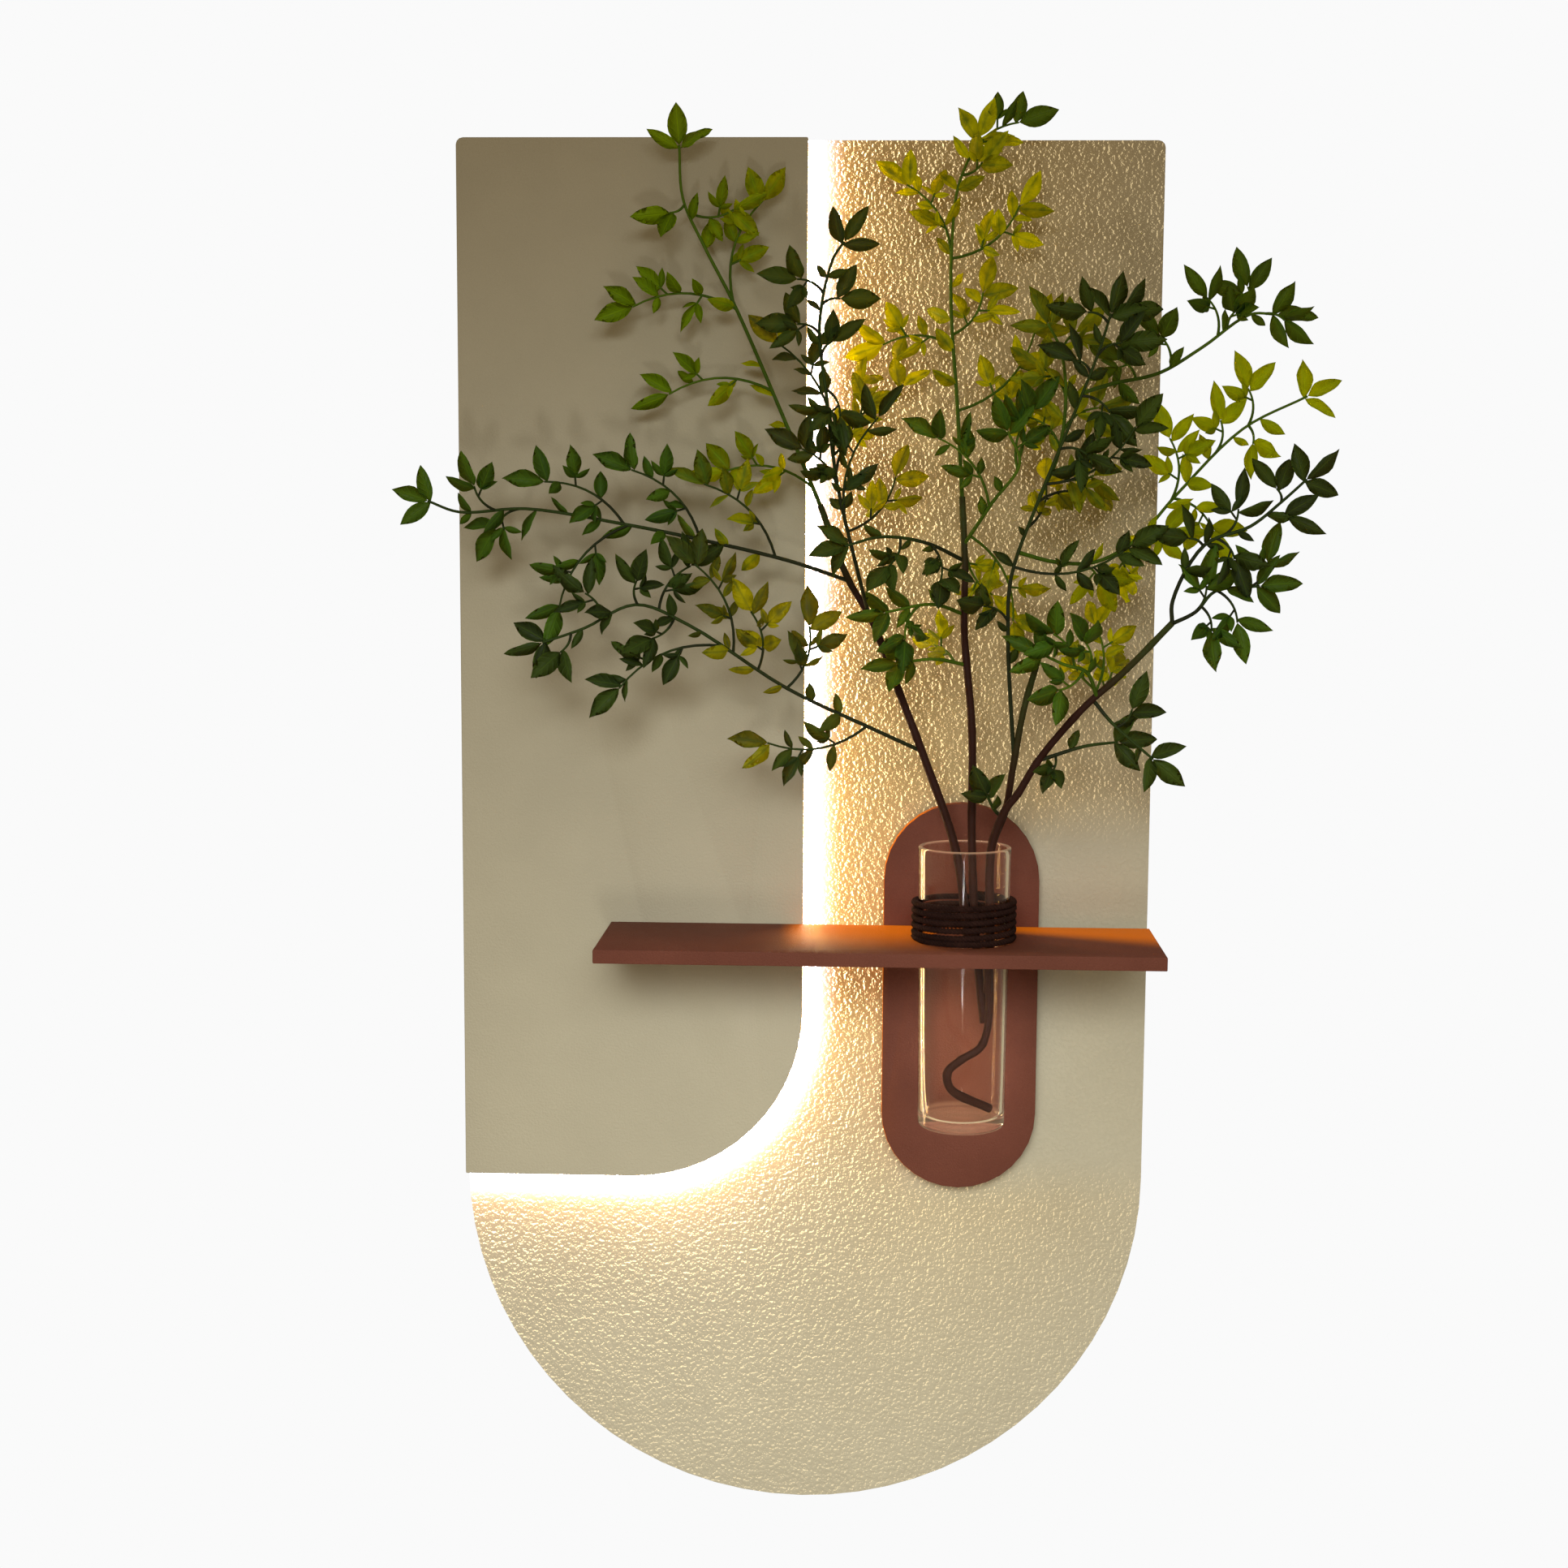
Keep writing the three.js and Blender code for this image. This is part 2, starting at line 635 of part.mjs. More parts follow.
function ropeWinding() {
  const collarHeight = glassHeight - glassAboveShelf;
  const radius = glassRadiusAt(collarHeight + ropeTurns * ropePitch) + ropeDiameter / 2 + seat;
  const steps = Math.round(ropeTurns * ropeStepsPerTurn);
  const low = shelfTop + seat + ropeDiameter / 2;
  const line = Array.from({ length: steps + 1 }, (_, i) => {
    const angle = (2 * Math.PI * i) / ropeStepsPerTurn;
    return new THREE.Vector3(
      glassSide + radius * Math.cos(angle),
      glassY + radius * Math.sin(angle),
      low + (ropePitch * i) / ropeStepsPerTurn,
    );
  });
  const geometry = tube(line, () => ropeDiameter / 2, ropeSides);
  const rings = line.map((_, i) =>
    Array.from({ length: ropeSides }, (_, k) =>
      new THREE.Vector3().fromBufferAttribute(geometry.attributes.position, i * ropeSides + k)),
  );
  let gap = Infinity;
  for (let i = 0; i + ropeStepsPerTurn / 2 < rings.length; i++) {
    for (let j = i + ropeStepsPerTurn / 2; j < Math.min(rings.length, i + 1.5 * ropeStepsPerTurn); j++) {
      for (const a of rings[i]) for (const b of rings[j]) gap = Math.min(gap, a.distanceTo(b));
    }
  }
  console.log(`rope winding: least gap to itself ${gap.toFixed(2)} mm`);
  return geometry;
}

// Plants. Places are [side, reach, rise] from the middle of the glass's mouth: side is +X,
// reach is toward the room and rise is +Z.

const stems = {
  stem_left: [
    [3.3, -7, -58], [-5, -8, -3], [-23, -10, 48], [-38, -12, 86], [-54, -16, 126], [-67, -18, 148],
    [-83, -22, 189],
  ],
  stem_centre: [
    [12.5, -2.6, -101], [8, -6, -62], [4, -2, -1], [3, -1, 65], [-2, -4, 120], [-2, -8, 155],
    [-4, -12, 194],
  ],
  stem_right: [
    [17, -6, -151.7], [-6, 4, -138], [-8, 6, -128], [-1, 6, -121], [10, 4, -114], [14, 2, -104],
    [15, 0, -63], [15, 0, -2], [22, 2, 20], [26, 8, 48], [31, 12, 79], [37, 14, 102],
  ],
  stem_low: [
    [13.5, 4.5, -82], [14, 12, -47], [14, 13, 0], [21, 16, 22], [28, 18, 32], [39, 20, 51],
    [62, 26, 80], [84, 30, 101], [108, 34, 127],
  ],
};

// A spray grows from a stem or from another spray along its line, and carries leaf stalks:
// [share of the line, side, reach, rise of the stalk's tip from its foot, 1 or -1 for its bow].
const sprays = {
  left_top: {
    on: "stem_left",
    line: [
      [-83, -22, 189], [-102, -24, 233], [-132, -28, 300], [-149, -30, 332], [-161, -30, 358],
      [-163, -28, 387],
    ],
    stalks: [
      [0.55, -58, 2, 1, 1], [0.32, -58, -1, -2, 1], [0.57, 16, -4, 56, -1], [0.83, 26, 2, 1, 1],
      [0.05, -49, -8, 9, 1], [0.85, -8, 4, -5, -1],
    ],
  },
  left_dark: {
    on: "stem_left",
    line: [
      [-56, -16, 131], [-62, 4, 155], [-73, 14, 201], [-79, 20, 248], [-83, 22, 285],
      [-76, 22, 320], [-70, 22, 329],
    ],
    stalks: [
      [0.86, -14, 4, 7, 1], [0.83, 10, -6, 4, -1], [0.76, -12, -4, 5, 1], [0.7, 6, 5, 8, -1],
      [0.62, 8, 6, -15, -1], [0.44, -31, -9, 63, 1], [0.35, -20, 8, 24, 1], [0.25, 16, 18, 61, -1],
    ],
  },
  left_long: {
    on: "stem_left",
    line: [
      [-67, -18, 147], [-100, -12, 158], [-156, -4, 171], [-192, 0, 178], [-245, 4, 186],
      [-282, 6, 184], [-299, 8, 190],
    ],
    stalks: [
      [0.18, -39, 13, 40, 1], [0.36, -37, 13, 38, 1], [0.54, -43, 10, 23, 1],
      [0.53, -37, 14, -46, 1], [0.84, -10, 9, 13, -1], [0.78, -15, -4, -11, 1],
    ],
  },
  left_low: {
    on: "stem_left",
    line: [
      [-25, -12, 52], [-52, -2, 65], [-100, 6, 88], [-154, 14, 123], [-183, 16, 134],
      [-211, 20, 121], [-234, 20, 113],
    ],
    stalks: [
      [0.54, -56, 12, -23, 1], [0.51, -21, 7, 49, 1], [0.71, 17, -7, 24, -1], [0.76, 0, 8, 13, -1],
      [0.85, -9, 3, 14, 1],
      [0.93, -5, 6, -10, -1], [0.67, -11, 13, -11, -1], [0.15, -55, 9, -9, -1],
      [0.36, 12, -10, 34, 1], [0.44, -3, 17, 33, 1],
    ],
  },
  centre_top: {
    on: "stem_centre",
    line: [[-4, -12, 194], [-7, -22, 244], [-11, -28, 297], [-11, -32, 334], [-8, -34, 365], [3, -34, 392]],
    stalks: [
      [0.42, -39, -8, 1, 1], [0.66, -25, -7, 41, 1], [0.66, 38, -7, 30, 1], [0.45, 17, -9, 24, 1],
      [0.24, 43, -12, 45, 1], [0.93, 28, 0, 21, -1], [0.89, 11, 6, 6, 1],
    ],
  },
  centre_cross: {
    on: "stem_centre",
    line: [[-3, -10, 167], [12, 8, 191], [26, 16, 212], [19, 20, 229]],
    stalks: [[0.38, -29, 13, 37, 1], [0.71, 8, 3, 32, -1]],
  },
  centre_twig_low: { on: "stem_centre", line: [[0, -4, 101], [-19, 8, 105], [-39, 16, 103]], stalks: [] },
  centre_twig_mid: {
    on: "stem_centre",
    line: [[-2, -6, 129], [-20, 6, 135], [-46, 18, 131]],
    stalks: [[0.59, -8, 16, -18, 1]],
  },
  centre_twig_high: {
    on: "stem_centre",
    line: [[-3, -10, 159], [-25, 12, 169], [-49, 26, 172], [-68, 32, 167]],
    stalks: [[0.34, 5, 22, -19, -1], [0.6, -6, 16, -15, -1]],
  },
  right_tall: {
    on: "stem_right",
    line: [
      [26, 8, 50], [21, 20, 117], [22, 24, 151], [35, 32, 191], [50, 38, 230], [65, 42, 270],
      [71, 42, 290],
    ],
    stalks: [
      [0.98, -11, 4, 5, 1], [0.99, 9, -4, 4, -1], [0.91, 13, 4, 6, -1], [0.87, -7, -3, 7, 1],
      [0.82, 15, 2, -9, -1],
      [0.7, 14, 7, -3, -1], [0.62, 46, 14, 30, 1], [0.43, 61, 18, 12, 1], [0.31, -14, 17, 9, 1],
    ],
  },
  right_inner: {
    on: "right_tall",
    line: [[36, 32, 194], [46, 24, 217], [50, 18, 247], [47, 14, 273], [40, 12, 287]],
    stalks: [
      [0.57, -12, -14, 17, 1], [0.8, 8, -9, 14, -1], [0.3, -15, -23, 17, 1],
      [0.39, 19, -7, 13, -1], [0.16, 24, -19, -2, 1],
    ],
  },
  right_top: {
    on: "right_tall",
    line: [[58, 40, 249], [76, 16, 255], [103, -2, 262], [126, -8, 276], [152, -12, 294], [166, -12, 294]],
    stalks: [
      [0.74, -7, 6, 20, 1], [0.88, 1, -4, 16, 1], [0.51, -7, 5, 17, 1], [0.79, 2, 13, 8, -1],
      [0.96, 9, 6, -4, -1], [0.34, -8, -11, 11, 1],
    ],
  },
  right_bright: {
    on: "right_tall",
    line: [
      [26, 26, 164], [46, 16, 159], [69, 8, 159], [91, 2, 171], [114, -8, 196], [150, -14, 232],
      [185, -16, 250],
    ],
    stalks: [
      [0.52, -2, 4, 34, 1], [0.53, 22, -2, -17, -1], [0.7, 2, 4, 18, 1], [0.82, -1, 2, 20, 1],
      [0.82, 2, 6, -10, -1], [0.35, 21, -6, 7, -1], [0.19, 11, -8, -9, -1],
    ],
  },
  right_mid: {
    on: "stem_low",
    line: [[108, 34, 127], [108, 34, 139], [124, 36, 169], [148, 36, 179], [164, 36, 192], [177, 36, 204]],
    stalks: [
      [0.52, 8, -4, 14, 1], [0.41, -8, 4, 4, 1], [0.75, 10, 4, -1, -1], [0.84, -2, -4, 7, 1],
      [0.48, 10, 2, -11, -1],
    ],
  },
  right_low: {
    on: "stem_low",
    line: [[107, 32, 126], [121, 30, 133], [131, 30, 144], [155, 28, 147]],
    stalks: [[0.91, 9, -2, 13, 1], [0.22, 8, 3, 16, 1], [0.36, 5, 6, -13, -1], [0.58, 11, 2, -17, -1]],
  },
  right_tail: {
    on: "stem_low",
    line: [[67, 26, 85], [77, 30, 73], [100, 30, 53]],
    stalks: [[0.43, 8, 2, 10, 1]],
  },
  right_tail_low: {
    on: "stem_low",
    line: [[40, 20, 51], [64, 22, 59], [82, 18, 61]],
    stalks: [[0.19, -2, 12, -7, -1]],
  },
  front_right: {
    on: "stem_low",
    line: [[69, 28, 87], [62, 40, 101], [50, 46, 105], [37, 48, 111]],
    stalks: [[0.36, -3, 10, 18, 1], [0.58, -12, 8, 18, 1], [0.45, -14, 12, -10, -1]],
  },
  mouth_twig: { on: "stem_right", line: [[21, 2, 16], [15, 14, 23], [11, 20, 31]], stalks: [] },
};

const toRoom = new THREE.Vector3(0, -1, 0);
const direction = ([side, reach, rise]) => new THREE.Vector3(side, -reach, rise).multiplyScalar(plantUnit);
const depthScale = (glassHeight - glassFloor) / plantDepth;
const plantPoint = ([side, reach, rise]) =>
  direction([side, reach, rise < 0 ? rise * depthScale : rise]).add(mouth);

// An even spread of numbers from 0 to 1 that is the same on every run.
const chance = (seed) => {
  const value = Math.sin(seed * 12.9898) * 43758.5453;
  return value - Math.floor(value);
};

// Three points round a place: one to each side, low, and one toward the room, high.
function ring(place, heading, roll, half, low, high) {
  const across = new THREE.Vector3().crossVectors(heading, toRoom).normalize().applyAxisAngle(heading, roll);
  const up = new THREE.Vector3().crossVectors(across, heading).normalize();
  return [
    place.clone().addScaledVector(across, half).addScaledVector(up, -low),
    place.clone().addScaledVector(across, -half).addScaledVector(up, -low),
    place.clone().addScaledVector(up, high),
  ];
}

function leafRing(foot, heading, roll, length) {
  const middle = foot.clone().addScaledVector(heading, leafBelly * length);
  const half = (leafWidth * length) / leafLength / 2;
  return ring(middle, heading, roll, half, leafThickness / 2, leafThickness / 2);
}

// A ridged leaf that grows from its foot, is widest at its belly and ends in a point.
function leaf({ foot, heading, length }, roll) {
  const tip = foot.clone().addScaledVector(heading, length);
  const faces = [0, 1, 2].flatMap((k) => {
    const next = (k + 1) % 3;
    return [0, next + 1, k + 1, k + 1, next + 1, 4];
  });
  const vertices = [foot, ...leafRing(foot, heading, roll, length), tip];
  return new THREE.BufferGeometry().setFromPoints(vertices).setIndex(faces);
}

// A twig along the points, of three sides, that widens at its end into a leaf.
function twigWithLeaf(points, radiusAt, { heading, length }, roll) {
  const last = points.length - 1;
  const rings = points.map((place, i) => {
    const along = points[Math.min(i + 1, last)].clone().sub(points[Math.max(i - 1, 0)]).normalize();
    const radius = radiusAt(i / last);
    return ring(place, along, 0, 0.87 * radius, radius / 2, radius);
  });
  const end = points[last];
  rings.push(leafRing(end, heading, roll, length));
  const faces = [0, 2, 1];
  for (let i = 0; i + 3 < 3 * rings.length; i += 3) {
    for (let k = 0; k < 3; k++) {
      const next = (k + 1) % 3;
      faces.push(i + k, i + next, i + next + 3, i + k, i + next + 3, i + k + 3);
    }
  }
  const top = 3 * (rings.length - 1);
  const tip = top + 3;
  for (let k = 0; k < 3; k++) faces.push(top + k, top + ((k + 1) % 3), tip);
  const vertices = [...rings.flat(), end.clone().addScaledVector(heading, length)];
  return new THREE.BufferGeometry().setFromPoints(vertices).setIndex(faces);
}

// The heading turned in the plane of the board, then leaned toward the room.
function turned(heading, angle, lean) {
  const flat = heading.clone().applyAxisAngle(toRoom, angle);
  return flat.addScaledVector(toRoom, Math.tan(lean)).normalize();
}

// Leaves at the end of a line: one straight on and one to each side, or to one side only.
function endLeaves(end, heading, sides, seed) {
  const leaves = [{ foot: end, heading: turned(heading, 0, 0.3 * chance(seed) - 0.05), length: leafLength }];
  sides.forEach((side, i) => {
    const angle = side * (0.85 + 0.3 * chance(seed + 1 + i));
    const lean = 0.7 * chance(seed + 3 + i) - 0.15;
    leaves.push({
      foot: end.clone().addScaledVector(heading, -2),
      heading: turned(heading, angle, lean),
      length: 0.92 * leafLength,
    });
  });
  return leaves;
}

// The leaves of one stalk: pairs of side leaves along it by its length, and two at its end.
function stalkLeaves(points, bow, seed) {
  const last = points.length - 1;
  const length = points[0].distanceTo(points[last]);
  const headingAt = (i) => points[Math.min(i + 1, last)].clone().sub(points[Math.max(i - 1, 0)]).normalize();
  const leaves = endLeaves(points[last], headingAt(last), [-bow], seed);
  const places = length > longStalk ? [[0.45, bow], [0.7, -bow]] : length > shortStalk ? [[0.5, bow]] : [];
  places.forEach(([share, side], i) => {
    const index = Math.round(share * last);
    const angle = side * (0.8 + 0.5 * chance(seed + 11 + i));
    const lean = 0.9 * chance(seed + 13 + i) - 0.25;
    const heading = turned(headingAt(index), angle, lean);
    leaves.push({ foot: points[index].clone(), heading, length: clusterLeafShare * leafLength });
  });
  return leaves;
}

const stalkSteps = 3;

// A stalk's bowed line from its foot on the spray to its tip.
function stalkPoints(foot, [, side, reach, rise, bow]) {
  const reachOut = direction([side, reach, rise]);
  const sideways = new THREE.Vector3(reachOut.z, 0, -reachOut.x).multiplyScalar(bow * stalkBow * 4);
  return Array.from({ length: stalkSteps + 1 }, (_, i) => {
    const t = i / stalkSteps;
    return foot.clone().addScaledVector(reachOut, t).addScaledVector(sideways, t * (1 - t));
  });
}

const twigRadiusAt = (t) => twigRadius * (1 - 0.3 * t);
const stalkRadiusAt = (t) => stalkRadius * (1 - 0.25 * t);

function sprayPieces({ line, stalks }, index) {
  const curve = new THREE.CatmullRomCurve3(line.map(plantPoint), false, "centripetal");
  const points = curve.getPoints(Math.max(4, Math.round(1.4 * (line.length - 1))));
  const rollOf = (i) => 1.3 * chance(90 * index + i) - 0.65;
  const pieces = [];
  const grow = (axis, radiusAt, [atEnd, ...beside]) => {
    pieces.push(twigWithLeaf(axis, radiusAt, atEnd, rollOf(pieces.length)));
    beside.forEach((one) => pieces.push(leaf(one, rollOf(pieces.length))));
  };
  grow(points, twigRadiusAt, endLeaves(points.at(-1), curve.getTangent(1), [-1, 1], 500 + 40 * index));
  stalks.forEach((stalk, i) => {
    const axis = stalkPoints(curve.getPointAt(stalk[0]), stalk);
    grow(axis, stalkRadiusAt, stalkLeaves(axis, stalk[4], 1000 + 100 * index + 7 * i));
  });
  return pieces;
}

function lineOf(name, steps) {
  return splinePoints((stems[name] ?? sprays[name].line).map(plantPoint), steps);
}

function addPlants() {
  const stemRadiusAt = (t) => stemRadius * (1 - (1 - stemTaper) * t);
  const thickLine = {};
  for (const [name, line] of Object.entries(stems)) {
    const points = lineOf(name, 3 * (line.length - 1));
    add(name, tube(points, stemRadiusAt, 6), "bark");
    thickLine[name] = tube(points, (t) => stemRadiusAt(t) + seat, 6);
  }
  Object.entries(sprays).forEach(([name, spray], index) => {
    const points = lineOf(name, 4 * (spray.line.length - 1));
    thickLine[name] = tube(points, (t) => twigRadiusAt(t) + seat, 6);
    const whole = sprayPieces(spray, index).map(solid).reduce((sum, piece) => sum.add(piece));
    const bodies = whole.subtract(solid(thickLine[spray.on])).decompose();
    const largest = bodies.reduce((a, b) => (a.volume() > b.volume() ? a : b));
    add(name, geometryOf(largest), "leaf");
  });
}

addBoards();
addWallSide();
addLight();
add("glass_tube", glassTube(), "glass", glassSide, glassY, glassBottom);
add("rope_winding", ropeWinding(), "rope");
addPlants();

export default part;
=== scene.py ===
import math

import bmesh
import bpy
from mathutils import Matrix, Quaternion, Vector


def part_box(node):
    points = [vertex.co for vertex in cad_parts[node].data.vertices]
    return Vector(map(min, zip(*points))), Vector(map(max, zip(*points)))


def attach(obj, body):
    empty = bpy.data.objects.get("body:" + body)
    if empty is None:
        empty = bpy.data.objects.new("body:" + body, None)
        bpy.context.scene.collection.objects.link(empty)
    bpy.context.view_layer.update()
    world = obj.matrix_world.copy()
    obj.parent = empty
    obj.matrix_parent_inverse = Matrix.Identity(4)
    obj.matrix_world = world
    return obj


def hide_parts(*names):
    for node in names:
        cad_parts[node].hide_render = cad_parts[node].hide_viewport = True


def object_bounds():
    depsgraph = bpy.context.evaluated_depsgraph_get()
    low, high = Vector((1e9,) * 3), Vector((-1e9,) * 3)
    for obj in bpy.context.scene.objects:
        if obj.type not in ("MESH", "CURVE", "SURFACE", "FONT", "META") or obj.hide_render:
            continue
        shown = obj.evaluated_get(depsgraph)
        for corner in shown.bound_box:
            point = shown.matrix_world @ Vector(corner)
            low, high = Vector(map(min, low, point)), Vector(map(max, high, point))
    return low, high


# A wall vase: two painted boards with warm light between them, a shelf, a glass tube in a rope
# collar, and a bunch of leafy branches. Sizes are millimetres unless a note says otherwise.

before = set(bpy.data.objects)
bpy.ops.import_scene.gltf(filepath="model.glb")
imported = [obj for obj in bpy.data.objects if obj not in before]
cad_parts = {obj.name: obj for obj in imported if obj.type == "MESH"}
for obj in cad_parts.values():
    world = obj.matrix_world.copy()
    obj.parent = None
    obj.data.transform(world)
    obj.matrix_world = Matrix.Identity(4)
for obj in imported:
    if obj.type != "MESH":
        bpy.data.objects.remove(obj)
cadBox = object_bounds()
mm = 0.001
boardBox, glassBox, panelBox, pillBox = (
    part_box(node) for node in ("base_board", "glass_tube", "front_panel", "pill_plate")
)
boardFace = boardBox[0].y  # in metres, as the boxes are
panelCorner = 100  # radius of the panel's round corner
mouth = Vector(((glassBox[0].x + glassBox[1].x) / 2, (glassBox[0].y + glassBox[1].y) / 2, glassBox[1].z)) / mm
toRoom = Vector((0, -1, 0))
scene = bpy.context.scene
print("frame loaded:", len(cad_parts), "nodes")


# Objects and meshes

def linked(name, data):
    made = bpy.data.objects.new(name, data)
    scene.collection.objects.link(made)
    return made


def aimed(thing, place, right, up, back):
    turn = Matrix((right, up, back)).transposed().to_4x4()
    thing.matrix_world = Matrix.Translation(place) @ turn


def smooth(mesh):
    for polygon in mesh.polygons:
        polygon.use_smooth = True


def solidMesh(name, vertices, faces):
    mesh = bpy.data.meshes.new(name)
    mesh.from_pydata(vertices, [], faces)
    shape = bmesh.new()
    shape.from_mesh(mesh)
    bmesh.ops.recalc_face_normals(shape, faces=shape.faces)
    shape.to_mesh(mesh)
    shape.free()
    smooth(mesh)
    return mesh


def settle(piece):  # what its modifiers make becomes the piece's own mesh
    piece.data.update()
    depsgraph = bpy.context.evaluated_depsgraph_get()
    mesh = bpy.data.meshes.new_from_object(piece.evaluated_get(depsgraph))
    piece.modifiers.clear()
    piece.data = mesh
    smooth(mesh)


# Node graphs: one class for a socket, one for the tree it is in

class Wire:
    def __init__(self, graph, socket):
        self.graph, self.socket = graph, socket

    def math(self, operation, *values):
        return self.graph.add("ShaderNodeMath", {"operation": operation}, dict(enumerate(values)))

    def other(self, name):
        return Wire(self.graph, self.socket.node.outputs[name])

    def __add__(self, value):
        return self.math("ADD", self, value)

    def __radd__(self, value):
        return self.math("ADD", value, self)

    def __sub__(self, value):
        return self.math("SUBTRACT", self, value)

    def __rsub__(self, value):
        return self.math("SUBTRACT", value, self)

    def __mul__(self, value):
        return self.math("MULTIPLY", self, value)

    def __rmul__(self, value):
        return self.math("MULTIPLY", value, self)

    def __truediv__(self, value):
        return self.math("DIVIDE", self, value)

    def __rtruediv__(self, value):
        return self.math("DIVIDE", value, self)

    def __pow__(self, value):
        return self.math("POWER", self, value)

    def __abs__(self):
        return self.math("ABSOLUTE", self)

    def sine(self):
        return self.math("SINE", self)

    def atLeast(self, value):
        return self.math("MAXIMUM", self, value)

    def atMost(self, value):
        return self.math("MINIMUM", self, value)

    def ramp(self, low, high, start=0.0, end=1.0):  # from start at low to end at high, eased
        settings = {"interpolation_type": "SMOOTHSTEP"}
        inputs = {"Value": self, "From Min": low, "From Max": high, "To Min": start, "To Max": end}
        return self.graph.add("ShaderNodeMapRange", settings, inputs)


class Graph:
    def __init__(self, tree):
        self.tree = tree

    def add(self, kind, settings=None, inputs=None, output=0):
        node = self.tree.nodes.new(kind)
        for name, value in (settings or {}).items():
            setattr(node, name, value)
        for name, value in (inputs or {}).items():
            if isinstance(value, Wire):
                self.tree.links.new(value.socket, node.inputs[name])
            else:
                node.inputs[name].default_value = value
        return Wire(self, node.outputs[output])

    def mix(self, factor, first, second):
        return self.add("ShaderNodeMix", {"data_type": "RGBA"}, {0: factor, 6: first, 7: second}, 2)

    def attribute(self, name):
        return self.add("ShaderNodeAttribute", {"attribute_name": name}).other("Fac")

    def place(self, stretch=(1, 1, 1)):  # Object coordinates in metres, stretched along the axes
        coordinates = self.add("ShaderNodeTexCoord").other("Object")
        return self.add("ShaderNodeMapping", None, {"Vector": coordinates, "Scale": stretch})

    def noise(self, vector, size, detail=2.0, roughness=0.5):  # size of a grain in mm
        inputs = {"Vector": vector, "Scale": 1 / (size * mm), "Detail": detail, "Roughness": roughness}
        return self.add("ShaderNodeTexNoise", None, inputs)

    def axes(self, vector):
        return self.add("ShaderNodeSeparateXYZ", None, {"Vector": vector})

    def vectors(self, operation, first, second):
        return self.add("ShaderNodeVectorMath", {"operation": operation}, {0: first, 1: second})

    def scaled(self, color, amount):
        return self.add("ShaderNodeVectorMath", {"operation": "SCALE"}, {0: color, "Scale": amount})

    def bump(self, height, depth):  # depth in mm
        return self.add("ShaderNodeBump", None, {"Height": height, "Distance": depth * mm})

    def close(self, kind, name, value):  # an output node has no outputs of its own
        out = self.tree.nodes.new(kind)
        self.tree.links.new(value.socket, out.inputs[name])


def newMaterial(name):
    material = bpy.data.materials.new(name)
    material.use_nodes = True
    material.node_tree.nodes.clear()
    return material, Graph(material.node_tree)


def principled(graph, inputs):
    return graph.add("ShaderNodeBsdfPrincipled", None, inputs)


def finished(material, graph, shader):
    graph.close("ShaderNodeOutputMaterial", "Surface", shader)
    return material


def tone(color, factor):
    return tuple(min(1.0, c * factor) for c in color[:3]) + (1.0,)


def mottled(graph, factor, color, amount):  # the colour, darker and lighter in places
    return graph.mix(factor, tone(color, 1 - amount), tone(color, 1 + amount))


# Paints and other finishes

def speckledPaint(name, color, grain, depth, mottle, specular, glow=None):
    material, graph = newMaterial(name)
    place = graph.place()
    coarse = graph.noise(place, grain)
    fine = graph.noise(place, grain * 0.4, 2.0, 0.6)
    cloud = graph.noise(place, 60, 3.0, 0.55)
    height = coarse * 0.85 + fine * 0.15
    base = mottled(graph, (fine * 0.5 + cloud * 0.5).ramp(0.35, 0.65), color, mottle)
    inputs = {
        "Base Color": base,
        "Roughness": fine.ramp(0.3, 0.7, 0.52, 0.68),
        "Specular IOR Level": specular,
        "Normal": graph.bump(height.ramp(0.36, 0.66), depth),
    }
    # painted light of the tape: the base colour turns orange and glows where the mask says
    if glow:
        amount = glow(graph)
        inputs["Base Color"] = graph.mix(amount, base, paintedTapeLightOnBrown["base"])
        inputs["Emission Color"] = graph.scaled(paintedTapeLightOnBrown["color"], amount)
        inputs["Emission Strength"] = 1.0
    return finished(material, graph, principled(graph, inputs))


def faceAxes(graph):
    return graph.axes(graph.add("ShaderNodeNewGeometry").other("Normal"))


# Painted light: the tape's light that runs down the board onto the back of the shelf, beside the panel and in
# a wedge right of the plate, is painted into the shelf's base colour and emission.
def shelfGlow(graph):
    axes = graph.axes(graph.place())
    out = (boardFace - axes.other("Y")) / mm
    beside = (axes - panelBox[1].x) / mm
    near = beside.ramp(-14.0, 2.0) * beside.ramp(50.0, 130.0, 1.0, 0.0) * (out / 100).ramp(0.3, 1.0, 1.0, 0.0)
    run = (axes - pillBox[0].x) / mm
    wedge = (out / (run * 0.5).atLeast(1.0)).ramp(0.5, 1.05, 1.0, 0.0) * run.ramp(40.0, 90.0)
    up = faceAxes(graph).other("Z").ramp(0.3, 0.8)
    return (near * paintedTapeLightOnBrown["near"] + wedge * paintedTapeLightOnBrown["wedge"]) * up


# painted light: the tape's glow on the plate's edge that faces it
def pillGlow(graph):  # the plate's edge that faces the tape
    return faceAxes(graph).ramp(-0.7, -0.1, paintedTapeLightOnBrown["edge"], 0.0)
